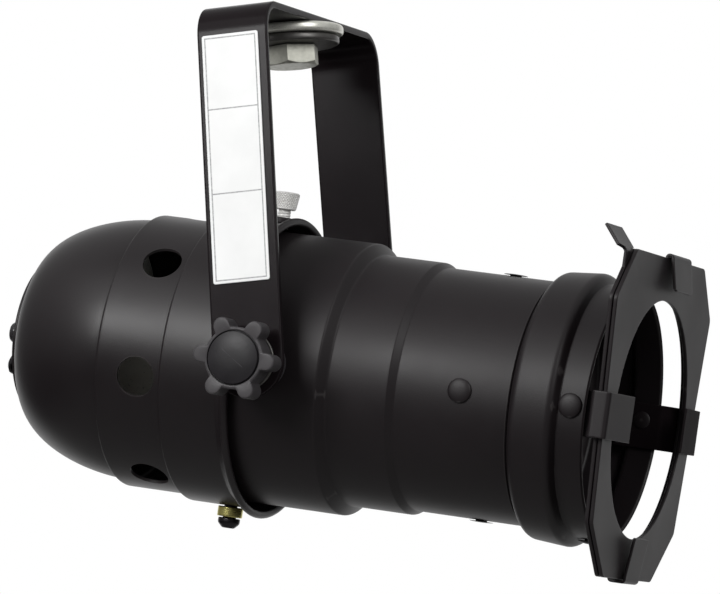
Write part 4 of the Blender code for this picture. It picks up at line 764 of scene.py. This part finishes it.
rivet = {"headR": 3.3, "head": 0.9, "flush": 0.3, "shank": 1.6, "tubeS": 55.3, "tubeOut": 33.8,
         "tubeDeep": 2.7, "clipS": 86.8, "clipOut": 34.9, "clipDeep": 3.4, "tailR": 2.4, "tail": 0.5}


def rivetGrid(deep, high):
    # Head: h = high * sin(a)^0.9 at r = headR * cos(a), over a plain shank with a flatter tail
    a = np.linspace(0, math.pi / 2, 14)
    head = np.stack([high * np.sin(a) ** 0.9, rivet["headR"] * np.cos(a)], 1)
    tail = np.stack([-deep - rivet["tail"] * np.cos(a), rivet["tailR"] * np.sin(a)], 1)
    shank = np.array([(-deep, rivet["shank"]), (0, rivet["shank"]), (0, rivet["headR"] - 0.25)])
    return spinUp(np.concatenate([tail, shank, head]), around(56))


def makeRivets():
    # Four hold the bezel in the tube, the top and bottom ones nearly flush, and one holds each clip
    names = {0: "Far", 90: "Top", 180: "Near", 270: "Bottom"}
    for kind, s, out, deep in (("tube", rivet["tubeS"], rivet["tubeOut"], rivet["tubeDeep"]),
                               ("clip", rivet["clipS"], rivet["clipOut"], rivet["clipDeep"])):
        for degrees, name in names.items():
            if kind == "clip" and degrees == 90:
                continue
            flush = kind == "tube" and degrees in (90, 270)
            grid = rivetGrid(deep, rivet["flush"] if flush else rivet["head"]) + [0, 0, out]
            piece = makePiece(kind + "Rivet" + name, [standing(degrees, s)(grid)], finishes["paint"], 50)
            fit(piece, "can", "black_paint", kind + "_rivet_" + name.lower())


makeTube()
makeBezel()
makeRivets()
print("front tube, bezel and rivets made")


# Clips and colour frame

clip = {"halfWidth": 6.2, "thick": 0.8, "legR": 32.0, "legRearS": 79.5, "legFrontS": 92.1, "jog": 3.6,
        "behindS": 95.2, "frontS": 99.6, "lipStart": 2.0, "lipAway": 0.1, "flare": 1.3, "shift": 1.5,
        "sideOut": 42.5, "sideLip": 18.0, "bottomOut": 44.5, "bottomLip": 12.2}
plate = {"thick": 1.05, "rearS": 96.2, "gap": 0.3, "holeR": 32.4, "rearHoleR": 34.2, "holeUp": -0.4,
         "topUp": 43.5, "topHalf": 32.0, "shoulderUp": 30.0, "shoulderHalf": 44.3, "waistHalf": 38.0,
         "bottomUp": -43.8, "bottomHalf": 22.0, "corner": 2.2, "edge": 0.22, "points": 480}
tab = {"width": 17.0, "x": 5.0, "thick": 0.84, "root": 1.6, "rise": 0.9, "foldOut": 1.08, "foldRise": 0.8,
       "fallOut": 1.24, "fall": 0.5, "lip": 8.6, "lipOut": 2.8, "round": 1.6}
handle = {"x": -34.5, "width": 13.5, "stem": 5.0, "stemLong": 4.6, "bendDeg": 39.0, "round": 1.0,
          "spread": 0.6, "length": 8.1, "low": 1.1, "thick": 0.88}


def clipLine(out, lip):
    # Centre line in (s, distance from the axis): leg, jog outwards, web, lip in front
    back, front = clip["behindS"], clip["frontS"]
    corners = [(clip["legRearS"], clip["legR"]), (clip["legFrontS"], clip["legR"]),
               (back, clip["legR"] + clip["jog"]), (back, out), (front, out),
               (front + clip["lipAway"], out - clip["lipStart"]), (front + clip["flare"], out - lip)]
    return rounded(corners, [1.6, 1.2, 0.8, 0.8, 2.0], 6, 0.5)


def makeClips():
    # A strap along clipLine for each, stood at its angle; the side clips sit a little low
    sides = {"Near": (180, clip["sideOut"], clip["sideLip"], clip["shift"], "paint"),
             # The far clip's darker copy of the paint is painted shade
             "Far": (0, clip["sideOut"], clip["sideLip"], -clip["shift"], "farClipShadedPaint"),
             "Bottom": (270, clip["bottomOut"], clip["bottomLip"], 0.0, "paint")}
    for name, (degrees, out, lip, shift, finish) in sides.items():
        grid = strap(clipLine(out, lip), clip["halfWidth"], clip["thick"], 0.2, 3) + [shift, 0, 0]
        piece = makePiece("clip" + name, [standing(degrees)(grid)], finishes[finish])
        fit(piece, "can", "black_paint", "clip_" + name.lower())


def plateGrid(low, holeR):
    # Plate in (x, u, s): hole points lie at the outline points' angles about the hole's centre
    right = [(plate["topHalf"], plate["topUp"]), (plate["shoulderHalf"], plate["shoulderUp"]),
             (plate["waistHalf"], -plate["shoulderUp"]), (plate["bottomHalf"], plate["bottomUp"])]
    corners = right + [(-x, u) for x, u in right[::-1]]
    outline = closedRound(corners[::-1], plate["corner"], plate["points"])
    centre = np.array([0, plate["holeUp"]])
    away = outline - centre
    hole = centre + away / np.linalg.norm(away, axis=1, keepdims=True) * holeR
    grid = slab(outline, hole, low, low + plate["thick"], plate["edge"], 3)
    return np.concatenate([grid, grid[:, :1]], 1)[..., [0, 2, 1]]


def makeFrame():
    # Rear plate with its handle and front plate with its tab, a small gap apart
    frontS = plate["rearS"] + plate["thick"] + plate["gap"]
    top, face = plate["topUp"], frontS + plate["thick"]
    rear = makePiece("framePlateRear", [inCan(plateGrid(plate["rearS"], plate["rearHoleR"])),
                                        inCan(handleGrid(top))], finishes["paint"])
    front = makePiece("framePlateFront", [inCan(plateGrid(frontS, plate["holeR"])),
                                          inCan(tabGrid(top, face))], finishes["paint"])
    fit(rear, "colour_frame", "black_paint", "frame_rear_plate")
    fit(front, "colour_frame", "black_paint", "frame_front_plate")


def tabGrid(top, face):
    # The front plate's own tab, folded forwards over its edge and down in front; its half width
    # falls by round (1 - sqrt(1 - t^2)), with t from 0 to 1 over the round at the lip's end
    mid, low = face - plate["thick"] / 2, top - tab["lip"]
    corners = [(mid, top - tab["root"]), (mid, top + tab["rise"]),
               (face + tab["foldOut"], top + tab["foldRise"]), (face + tab["fallOut"], top - tab["fall"]),
               (face + tab["lipOut"], low)]
    line = rounded(corners, [0.9, 0.9, 1.2], 6, 0.5)
    t = np.clip((low + tab["round"] - line[:, 1]) / tab["round"], 0, 1)
    half = tab["width"] / 2 - tab["round"] * (1 - np.sqrt(1 - t ** 2))
    return strap(line, half, tab["thick"], 0.2, 3) + [tab["x"], 0, 0]


def handleGrid(top):
    # Stem up from the rear plate's shoulder, then a wide leaf bent back; the half width grows
    # from stem to leaf over the spread past the bend, where there are extra stations
    bend, start, spread = math.radians(handle["bendDeg"]), handle["round"], handle["spread"]
    knee = np.array([plate["rearS"] + plate["thick"] / 2, top - handle["low"]])
    ahead = np.array([-math.sin(bend), math.cos(bend)])
    line = rounded([knee - [0, handle["stemLong"]], knee, knee + ahead * handle["length"]], start, 8, 0.6)
    line = np.concatenate([line, knee + np.linspace(start, start + spread, 5)[:, None] * ahead])
    line = line[np.argsort(line[:, 1], kind="stable")]
    away = np.linalg.norm(line - knee, axis=1) * np.sign(line[:, 1] - knee[1])
    wider = (handle["width"] - handle["stem"]) / 2 * np.clip((away - start) / spread, 0, 1)
    half = handle["stem"] / 2 + wider
    return strap(line, half, handle["thick"], 0.2, 3) + [handle["x"], 0, 0]


makeClips()
makeFrame()
print("clips and colour frame made")


# Rear housing with its vents

housing = {"mouthR": 15.5, "flatR": 20.5, "rearS": -79.4, "domeR": 36.3, "domeEndS": -49.5,
           "domePower": 1.15, "bandRearS": -48.0, "bandR": 38.0, "bandEndS": -28.8, "bandMargin": 0.8,
           "collarR": 39.45, "rimR": 41.8, "rimS": -8.9, "bead": 1.1, "sheet": 0.9, "vents": 7,
           "ventR": 5.5, "ventS": -36.2, "ventFirstDeg": 192.5, "perVent": 36, "ventRows": 10}


def bandEdges():
    # Where the pierced part of the band starts and ends
    return housing["bandRearS"] + housing["bandMargin"], housing["bandEndS"] - housing["bandMargin"]


def ventShare():
    # One vent's share of the band: every point lies between the hole's circle and the share's edge,
    # P = circle + (edge - circle) * t^1.6, with t from 0 at the hole to 1 at the edge
    n, sides = housing["perVent"], 20
    low, high = bandEdges()
    reach = math.pi / housing["vents"] * housing["bandR"]
    across = np.linspace(-reach, reach, n + 1)
    along = np.linspace(low, high, sides + 1) - housing["ventS"]
    edge = np.concatenate([np.stack([across[:-1], np.full(n, along[-1])], 1),
                           np.stack([np.full(sides, reach), along[:0:-1]], 1),
                           np.stack([across[:0:-1], np.full(n, along[0])], 1),
                           np.stack([np.full(sides, -reach), along[:-1]], 1)])
    edge = np.concatenate([edge, edge[:1]])
    circle = edge / np.linalg.norm(edge, axis=1, keepdims=True) * housing["ventR"]
    t = np.linspace(0, 1, housing["ventRows"])[:, None, None] ** 1.6
    return circle + (edge - circle) * t


def onBand(share, radius, degrees):
    # Wraps (arc length, s) round the band: the angle is arc length over the band's radius
    angle = math.radians(degrees) + share[..., 0] / housing["bandR"]
    return np.stack([radius * np.cos(angle), share[..., 1] + housing["ventS"], radius * np.sin(angle)], -1)


def rearLine():
    # Flat ring, dome and the step up to the band. Dome: s = end - depth cos(a)^power,
    # r = flat + (R - flat) sin a
    rear, end, flat, band = housing["rearS"], housing["domeEndS"], housing["flatR"], housing["bandRearS"]
    a = np.linspace(0, math.pi / 2, 48)[1:-1]
    dome = np.stack([end - (end - rear) * np.cos(a) ** housing["domePower"],
                     flat + (housing["domeR"] - flat) * np.sin(a)], 1)
    mouth = rounded([(rear, housing["mouthR"]), (rear, flat), tuple(dome[0])], 0.8, 5, 0.4)
    stepUp = rounded([(end, housing["domeR"]), (band - 0.7, housing["domeR"]), (band, housing["bandR"]),
                      (bandEdges()[0], housing["bandR"])], [0.35, 0.4], 5, 0.3)
    return np.concatenate([mouth[:-1], dome, stepUp])


def collarLine():
    # The step up from the band to the collar, and the collar up to its rolled rim
    end, rim, collarR = housing["bandEndS"], housing["rimS"], housing["collarR"]
    return rounded([(bandEdges()[1], housing["bandR"]), (end - 0.5, housing["bandR"]), (end + 0.2, collarR),
                    (rim - 3.0, collarR), (rim - 1.6, collarR + 0.7)], [0.35, 0.4, 1.2], 5, 0.3)


def makeHousing():
    # Two turned sheets, behind and in front of the band, and the band's shares with a wall round
    # each vent; rim: (s, r) = (rimS + bead cos t, rimR - bead + bead sin t)
    sheet, bead, bandR, vents = housing["sheet"], housing["bead"], housing["bandR"], housing["vents"]
    rearOuter, collar = rearLine(), collarLine()
    t = np.radians(np.linspace(160, -95, 26))
    rim = np.stack([housing["rimS"] + bead * np.cos(t), housing["rimR"] - bead + bead * np.sin(t)], 1)
    rearInner = rearOuter + sidesOf(rearOuter) * sheet
    frontInner = collar + sidesOf(collar) * sheet
    rearInner[-1] = (bandEdges()[0], bandR - sheet)
    frontInner[0] = (bandEdges()[1], bandR - sheet)
    start = math.radians(housing["ventFirstDeg"]) - math.pi / vents
    angles = around(vents * housing["perVent"], start)
    rearLoop = np.concatenate([rearInner[::-1], rearOuter])
    frontLoop = np.concatenate([collar, rim, frontInner[::-1]])
    grids = [inCan(spin(rearLoop, angles)), inCan(spin(frontLoop, angles))]
    share = ventShare()
    for k in range(vents):
        degrees = housing["ventFirstDeg"] + 360.0 * k / vents
        outer, inner = (inCan(onBand(share, radius, degrees)) for radius in (bandR, bandR - sheet))
        grids += [outer, inner, np.stack([outer[0], inner[0]])]
    piece = makePiece("rearHousing", grids, finishes["housingPaint"], 40, 8e-6)
    return fit(piece, "rear_housing", "black_paint", "rear_housing")


backPlate = {"radius": 21.2, "thick": 1.0, "gap": 0.3, "hole": 4.15}
gland = {"gap": 0.3, "bore": 2.3, "thread": 3.8, "threadLong": 8.0, "flange": 6.8, "flangeThick": 1.8,
         "dish": (3.0, 5.2), "neck": (5.4, 2.95), "tip": 3.3, "length": 10.2}


def makeBackPlate():
    # A rounded ring section turned about the axis
    front = housing["rearS"] - backPlate["gap"]
    profile = ringProfile(front - backPlate["thick"], front, backPlate["hole"], backPlate["radius"], 0.35)
    turnedInCan("backPlate", profile, 160, "paint", "rear_housing", "black_paint", "back_plate")


def makeGland():
    # Flange, dished neck and round nose, with the hole for the lead
    seat = housing["rearS"] - backPlate["gap"] - backPlate["thick"] - gland["gap"]
    tip = seat - gland["length"]
    thread = seat + gland["threadLong"]
    lip = math.asin((gland["bore"] + 0.25) / gland["tip"])
    a = np.linspace(math.pi / 2 + 0.25, math.pi - lip, 22)
    ball = np.stack([tip + gland["tip"] + gland["tip"] * np.cos(a), gland["tip"] * np.sin(a)], 1)
    neck = rounded([(thread, gland["bore"]), (thread, gland["thread"]), (seat, gland["thread"]),
                    (seat, gland["flange"]), (seat - gland["flangeThick"], gland["flange"]),
                    (seat - gland["dish"][0], gland["dish"][1]), (seat - gland["neck"][0], gland["neck"][1]),
                    tuple(ball[0])],
                   [0.3, 0.1, 0.3, 0.6, 0.8, 1.2], 5, 0.3)
    inside = np.array([(tip + gland["tip"] / 2, gland["bore"]), (thread, gland["bore"])])
    profile = np.concatenate([neck[:-1], ball, inside])
    turnedInCan("cableGland", profile, 96, "gland", "rear_housing", "gland_plastic", "cable_gland")


makeHousing()
makeBackPlate()
makeGland()
print("rear housing made")


# Collar screws

thumb = {"s": -14.2, "shank": 1.85, "threadDepth": 0.2, "pitch": 0.8, "tip": 38.45, "neck": 43.7, "head": 4.9,
         "low": 3.2, "high": 3.75, "rim": 0.35, "teeth": 26, "knurl": 0.28, "dishR": 1.3, "dish": 0.25,
         "bossR": 3.0, "bossTop": 41.5, "base": 39.75, "loose": 0.35}
bottom = {"s": -17.5, "shank": 1.85, "tip": 37.9, "standoffR": 3.5, "base": 39.75, "standoffTop": 42.55,
          "loose": 0.35, "headR": 3.05, "head": 2.8, "gap": 0.3, "slot": 0.35, "slotDeep": 0.6, "slotR": 1.4}


def makeThumbscrew():
    # Diamond knurl: r = R(h) - depth * (1 - min(tri(p), tri(q))), p and q = teeth a / 2 pi +- h / lead,
    # tri(x) = 1 - |2 frac(x) - 1|; towards both rims it fades to a plain half depth
    angles = around(thumb["teeth"] * 8)
    top = thumb["neck"] + thumb["head"]
    t = np.linspace(0, 1, 34)
    h = thumb["neck"] + thumb["rim"] + (thumb["head"] - 2 * thumb["rim"]) * t
    body = thumb["low"] + (thumb["high"] - thumb["low"]) * t
    lead = turn * thumb["high"] / thumb["teeth"]
    p = thumb["teeth"] * angles / turn + h[:, None] / lead
    q = thumb["teeth"] * angles / turn - h[:, None] / lead
    low = np.minimum(1 - np.abs(2 * (p % 1) - 1), 1 - np.abs(2 * (q % 1) - 1))
    fade = np.clip(np.minimum(t, 1 - t) / 0.08, 0, 1)[:, None]
    r = body[:, None] - thumb["knurl"] * (1 - low) * fade - thumb["knurl"] * 0.5 * (1 - fade)
    side = np.stack([r * np.cos(angles), r * np.sin(angles), h[:, None] + 0 * angles], -1)
    shank = threaded(thumb["tip"], thumb["neck"] - 0.2, thumb["shank"], thumb["threadDepth"], thumb["pitch"],
                     len(angles) - 1)[:-1]
    under = spinUp(np.array([(thumb["neck"], thumb["shank"]), (thumb["neck"], thumb["low"] - 0.5),
                             (thumb["neck"] + 0.2, thumb["low"] - 0.2)]), angles)
    dished = top - thumb["dish"]
    cover = spinUp(rounded([(top - 0.2, thumb["high"] - 0.3), (top, thumb["high"] - 0.7),
                            (top, thumb["dishR"] + 0.3), (dished, thumb["dishR"]), (dished, 0)],
                           [0.2, 0.1, 0.1], 3, 0.3), angles)
    grid = np.concatenate([shank, under, side, cover])
    # Its lighter nickel copy is painted highlight
    piece = makePiece("thumbscrew", [standing(90, thumb["s"])(grid)], finishes["thumbscrewLit"], 30)
    fit(piece, "thumbscrew", "nickel", "thumbscrew")


def makeBoss():
    # A rounded ring section turned about the thumbscrew
    hole = thumb["shank"] + thumb["loose"]
    profile = ringProfile(thumb["base"], thumb["bossTop"], hole, thumb["bossR"], 0.5)
    turned("thumbscrewBoss", profile, 64, standing(90, thumb["s"]), "paint",
           "rear_housing", "black_paint", "thumbscrew_boss")


def makeStandoff():
    # A rounded ring section turned about the bottom screw
    hole = bottom["shank"] + bottom["loose"]
    profile = ringProfile(bottom["base"], bottom["standoffTop"], hole, bottom["standoffR"], 0.3)
    turned("bottomStandoff", profile, 72, standing(270, bottom["s"]), "yellowZinc",
           "rear_housing", "yellow_zinc", "bottom_standoff")


def makeBottomScrew():
    # Round head with a cross recess pressed in: deep * max(0, 1 - min(|a|, |b|) / slot) within slotR
    low = bottom["standoffTop"] + bottom["gap"]
    high = low + bottom["head"]
    head = rounded([(bottom["tip"], 0), (bottom["tip"], bottom["shank"]), (low, bottom["shank"]),
                    (low, bottom["headR"]), (low + 0.5 * bottom["head"], bottom["headR"]),
                    (high, 0.55 * bottom["headR"]), (high, 0)], [0.3, 0.2, 0.3, 1.2, 0.9], 7, 0.3)
    spread = bottom["headR"] * 0.5 * np.linspace(0.9, 0, 10)
    head = np.concatenate([head[:-1], np.stack([high + 0 * spread, spread], 1)])
    grid = spinUp(head, around(96))
    across = np.minimum(np.abs(grid[..., 0]), np.abs(grid[..., 1]))
    inTop = (grid[..., 2] > high - 0.05) & (np.hypot(grid[..., 0], grid[..., 1]) < bottom["slotR"])
    grid[..., 2] -= np.where(inTop, bottom["slotDeep"] * np.clip(1 - across / bottom["slot"], 0, 1), 0)
    piece = makePiece("bottomScrew", [standing(270, bottom["s"])(grid)], finishes["blackSteel"], 35)
    fit(piece, "bottom_screw", "dark_steel", "bottom_screw")


makeThumbscrew()
makeBoss()
makeStandoff()
makeBottomScrew()
print("collar screws made")


# Tilt pivots and star knobs

star = {"inner": 50.64, "outer": 60.97, "hub": 7.6, "hubHigh": 2.2, "waist": 8.3, "tip": 11.6, "capR": 7.05,
        "cap": 1.3, "capSide": 0.35, "lobes": 6, "turnDeg": 30.0, "finger": 2.25, "blend": 0.45, "edge": 0.55,
        "socket": 6.5, "stud": 3.35, "grooveR": 7.3, "grooveDeep": 0.5, "washerR": 8.0, "washerThick": 1.0,
        "washerGap": 0.3, "segments": 432}


def starRadius(angles, share):
    # A finger of half width f has a round tip about a point at d = tip - f, so its radius is
    # d cos a + sqrt(f^2 - d^2 sin^2 a), and f / |sin a| along its sides. It joins the waist by a
    # smooth maximum: m + (a - b + sqrt((a - b)^2 + blend^2)) / 2, less the waist.
    step = turn / star["lobes"]
    away = np.abs((angles - math.radians(star["turnDeg"]) + step / 2) % step - step / 2)
    f = star["finger"]
    d = star["tip"] - f
    tip = d * np.cos(away) + np.sqrt(np.maximum(f ** 2 - (d * np.sin(away)) ** 2, 0))
    side = f / np.maximum(np.sin(away), 1e-6)
    finger = np.where(away < math.atan2(f, d), tip, side)
    over = finger - star["waist"]
    return share * (over + np.sqrt(over ** 2 + star["blend"] ** 2)) / 2


def makeKnob(name, degrees, body):
    # Rings of (h, base radius, share of the star): socket, hub, flank with rounded edges, face,
    # groove, and a cap with h = top - (cap - capSide) (r / capR)^2.6
    high = star["outer"] - star["inner"]
    face, e = high - star["cap"], star["edge"]
    q = np.linspace(0, math.pi / 2, 7)
    low = star["hubHigh"] + 0.2
    lowEdge = np.stack([low + e * (1 - np.cos(q)), star["waist"] - e * (1 - np.sin(q)), 0 * q + 1], 1)
    highEdge = np.stack([face - e + e * np.sin(q), star["waist"] - e * (1 - np.cos(q)), 0 * q + 1], 1)
    socket = [(star["socket"], 0, 0), (star["socket"], star["stud"], 0), (0.3, star["stud"], 0),
              (0, star["stud"] + 0.3, 0), (0, star["hub"] - 0.3, 0), (0.3, star["hub"], 0),
              (star["hubHigh"], star["hub"], 0)]
    groove, floor = star["grooveR"], face - star["grooveDeep"]
    ring = [(face, groove + 0.32, 0), (face - 0.08, groove + 0.12, 0), (floor, groove, 0),
            (floor, star["capR"] + 0.05, 0), (face + 0.15, star["capR"], 0)]
    r = star["capR"] * np.linspace(0.985, 0, 16)
    dome = np.stack([high - (star["cap"] - star["capSide"]) * (r / star["capR"]) ** 2.6, r, 0 * r], 1)
    rings = np.concatenate([socket, lowEdge, highEdge, ring, dome])
    angles = around(star["segments"])
    radius = rings[:, 1:2] + starRadius(angles, rings[:, 2:3])
    grid = np.stack([radius * np.cos(angles), radius * np.sin(angles), rings[:, :1] + 0 * angles], -1)
    points = standing(degrees)(grid + [0, 0, star["inner"]])
    piece = makePiece("starKnob" + name, [points], finishes["knobPlastic"], 35)
    fit(piece, body, "black_plastic", body)


def makeKnobWasher(name, degrees):
    # A rounded ring section turned about the knob's stud
    high = star["inner"] - star["washerGap"]
    profile = ringProfile(high - star["washerThick"], high, star["stud"], star["washerR"], 0.3)
    turned("knobWasher" + name, profile, 96, standing(degrees), "darkSteel",
           "can", "dark_steel", "knob_washer_" + name.lower())


for side, degrees in (("Near", 180), ("Far", 0)):
    makeKnob(side, degrees, "knob_" + side.lower())
    makeKnobWasher(side, degrees)
print("star knobs made")


# Lamp

lamp = {"radius": 31.75, "rimS": 44.4, "neckR": 12.2, "neckS": -20.0, "neckLong": 5.0, "neckStep": 0.8,
        "glass": 1.2, "rim": 4.0, "seam": 0.3, "dome": 1.9, "faceCurve": 1.2, "baseR": 13.1, "baseLong": 19.0,
        "threadDepth": 0.8, "pitch": 3.6, "skirt": 1.4, "skirtIn": 1.8}


def makeLamp():
    # Bowl: r = low + (R - low) sin(pi t / 2)^0.9, with t from 0 at the neck to 1 at the rim
    radius, neck, neckR, glass = lamp["radius"], lamp["neckS"], lamp["neckR"], lamp["glass"]
    front, start, low = lamp["rimS"], neck + lamp["neckLong"], neckR + lamp["neckStep"]
    t = np.linspace(0, 1, 40)
    bowl = np.stack([start + (front - lamp["rim"] - start) * t,
                     low + (radius - low) * np.sin(math.pi / 2 * t) ** 0.9], 1)
    outer = np.concatenate([[(neck, 0), (neck, neckR - 0.3), (neck + 0.3, neckR)], bowl, [(front, radius)]])
    inner = outer + sidesOf(outer) * glass
    inner[:3] = [(neck + glass, 0), (neck + glass, neckR - 1.6), (neck + glass + 0.3, neckR - glass)]
    inner[-1] = (front, radius - glass)
    profile = np.concatenate([outer, inner[::-1]])
    turnedInCan("lampReflector", profile, 160, "reflector", "lamp", "reflector", "lamp_reflector")


def makeLens():
    # Face: s = back + dome - faceCurve (r / R)^3.5
    radius, back = lamp["radius"], lamp["rimS"] + lamp["seam"]
    r = np.linspace(radius - 0.5, 0, 30)
    face = np.stack([back + lamp["dome"] - lamp["faceCurve"] * (r / radius) ** 3.5, r], 1)
    profile = np.concatenate([[(back, 0), (back, radius - 0.6), (back + 0.25, radius - 0.4)], face])
    turnedInCan("lampLens", profile, 160, "glass", "lamp", "lens_glass", "lamp_lens")


def makeLampBase():
    # Screw shell: r = R - depth / 2 * (1 - cos(2 pi s / pitch - a)), fading out at both ends
    rear, front = lamp["neckS"] - lamp["baseLong"], lamp["neckS"] - 0.3
    s = np.linspace(front, rear, 60)[:, None]
    angles = around(128)
    fade = np.clip(np.minimum(front - s, s - rear) / 2.0, 0, 1)
    r = lamp["baseR"] - lamp["threadDepth"] / 2 * (1 - np.cos(turn * s / lamp["pitch"] - angles)) * fade
    side = np.stack([r * np.cos(angles), s + 0 * angles, r * np.sin(angles)], -1)
    wall, low, inset = lamp["neckR"] - 1.4, rear - lamp["skirt"], lamp["skirtIn"]
    inside = spin(np.array([(low, lamp["baseR"] - inset), (low, wall - inset), (rear + 1.0, wall),
                            (front, wall), (front, lamp["baseR"])]), angles)
    piece = makePiece("lampBase", [inCan(np.concatenate([side, inside]))], finishes["nickel"], 50)
    fit(piece, "lamp", "nickel", "lamp_base")


makeLamp()
makeLens()
makeLampBase()
print("lamp made")


# CAD nodes that keep their shape and get their finish

kept = {
    "zinc": ("pivot_nut_near", "pivot_nut_far", "knob_screw_near", "knob_screw_far", "holder_plate",
             "holder_screw_1", "holder_screw_2"),
    "nylon": ("pivot_spacer_near", "pivot_spacer_far"),
    "blackSteel": ("back_plate_screw_1", "back_plate_screw_2"),
    "plastic": ("gland_nut",),
    "porcelain": ("holder_body", "terminal_block", "lamp_insulator"),
    "brass": ("holder_shell", "holder_contact", "earth_screw", "lamp_contact"),
    "brown": ("wire_live",),
    "blue": ("wire_neutral",),
    "green": ("wire_earth",),
}
for finish, nodes in kept.items():
    for node in nodes:
        solid = frame["nodes"][node]
        solid.data.materials.clear()
        solid.data.materials.append(finishes[finish])
print("carried-over nodes finished:", sum(len(nodes) for nodes in kept.values()))


# Room, light and camera

room = {"floorZ": -1.6, "floorSize": 2.4, "floorRise": 0.02, "floorColour": (0.62, 0.62, 0.61),
        "worldLight": 0.35, "mirrorAbove": 0.55, "mirrorBelow": 0.04, "backdrop": (0.95, 0.33, 0.0),
        "backdropEdge": (0.6, 0.86), "aim": (0.0, 0.0, -0.1)}
lights = {
    "key": {"at": (-0.72, 0.17, 0.21), "size": (0.36, 0.24), "power": 3.6},
    "upper": {"at": (-0.66, 0.20, 0.62), "size": (0.9, 0.5), "power": 1.4},
    "front": {"at": (-0.55, -1.0, 0.30), "size": (0.5, 0.5), "power": 4.0},
}
cameraLook = {"eye": (-1.404156, -0.505565, -0.237983), "yawDeg": 19.2247, "pitchDeg": 6.0874,
              "rollDeg": -3.5255, "lens": 271.85, "sensor": 36.0}


def makeFloor():
    # Nearly flat sheet: z = floor + rise (d / size)^4 at a distance d from the middle
    size = room["floorSize"]
    line = np.linspace(-size, size, 49)
    x, y = np.meshgrid(line, line, indexing="ij")
    grid = np.stack([x, y, room["floorZ"] + room["floorRise"] * (np.hypot(x, y) / size) ** 4], -1)
    material, tree, shader = newMaterial("paleFloor")
    shade = tuple(0.97 * part for part in room["floorColour"])
    colour = blended(tree, noiseOf(tree, 3.0), room["floorColour"], shade)
    tree.links.new(colour, shader.inputs["Base Color"])
    shader.inputs["Roughness"].default_value = 0.85
    makePiece("floor", [grid], material)


def makeWorld():
    # Plain soft light on the object, and white where the camera looks. Glossy and transmitted rays
    # meet a dim room, lighter above than below (by the direction's z), and white towards the
    # backdrop behind the can (by direction . backdrop).
    world = bpy.data.worlds.new("room")
    world.use_nodes = True
    tree = world.node_tree
    ray = addNode(tree, "ShaderNodeLightPath")
    way = addNode(tree, "ShaderNodeTexCoord").outputs["Generated"]
    height = addNode(tree, "ShaderNodeSeparateXYZ")
    along = addNode(tree, "ShaderNodeVectorMath", operation="DOT_PRODUCT")
    tree.links.new(way, height.inputs[0])
    tree.links.new(way, along.inputs[0])
    along.inputs[1].default_value = Vector(room["backdrop"]).normalized()
    dim = mapped(tree, height.outputs["Z"], room["mirrorBelow"], room["mirrorAbove"], -0.3, 0.8)
    behind = mapped(tree, along.outputs["Value"], 0.0, 1.0, *room["backdropEdge"])
    mirrored = calculated(tree, "MAXIMUM", ray.outputs["Is Glossy Ray"], ray.outputs["Is Transmission Ray"])
    plain = mixed(tree, mirrored, room["worldLight"], calculated(tree, "MAXIMUM", dim, behind))
    level = mixed(tree, ray.outputs["Is Camera Ray"], plain, 1.0)
    tree.nodes["Background"].inputs["Color"].default_value = (1, 1, 1, 1)
    tree.links.new(level, tree.nodes["Background"].inputs["Strength"])
    bpy.context.scene.world = world


def makeLights():
    # Rectangular lights that face one point and that the camera doesn't see
    aim = Vector(room["aim"])
    for name, light in lights.items():
        lampData = bpy.data.lights.new(name, "AREA")
        lampData.shape = "RECTANGLE"
        lampData.size, lampData.size_y = light["size"]
        lampData.energy = light["power"]
        source = bpy.data.objects.new(name, lampData)
        source.location = light["at"]
        source.rotation_euler = (aim - source.location).to_track_quat("-Z", "Y").to_euler()
        source.visible_camera = False
        bpy.context.scene.collection.objects.link(source)


def makeCamera():
    # Looks along yaw and pitch from the eye, then rolls about that line
    yaw, pitch = math.radians(cameraLook["yawDeg"]), math.radians(cameraLook["pitchDeg"])
    ahead = Vector((math.cos(yaw) * math.cos(pitch), math.sin(yaw) * math.cos(pitch), math.sin(pitch)))
    view = bpy.data.cameras.new("view")
    view.lens = cameraLook["lens"]
    view.sensor_width = cameraLook["sensor"]
    view.clip_end = 50.0
    camera = bpy.data.objects.new("view", view)
    camera.location = cameraLook["eye"]
    camera.rotation_mode = "QUATERNION"
    roll = Quaternion((0, 0, 1), math.radians(cameraLook["rollDeg"]))
    camera.rotation_quaternion = ahead.to_track_quat("-Z", "Y") @ roll
    bpy.context.scene.collection.objects.link(camera)
    bpy.context.scene.camera = camera


makeFloor()
makeWorld()
makeLights()
makeCamera()
bpy.context.scene.view_settings.view_transform = "Standard"
print("room, light and camera made")
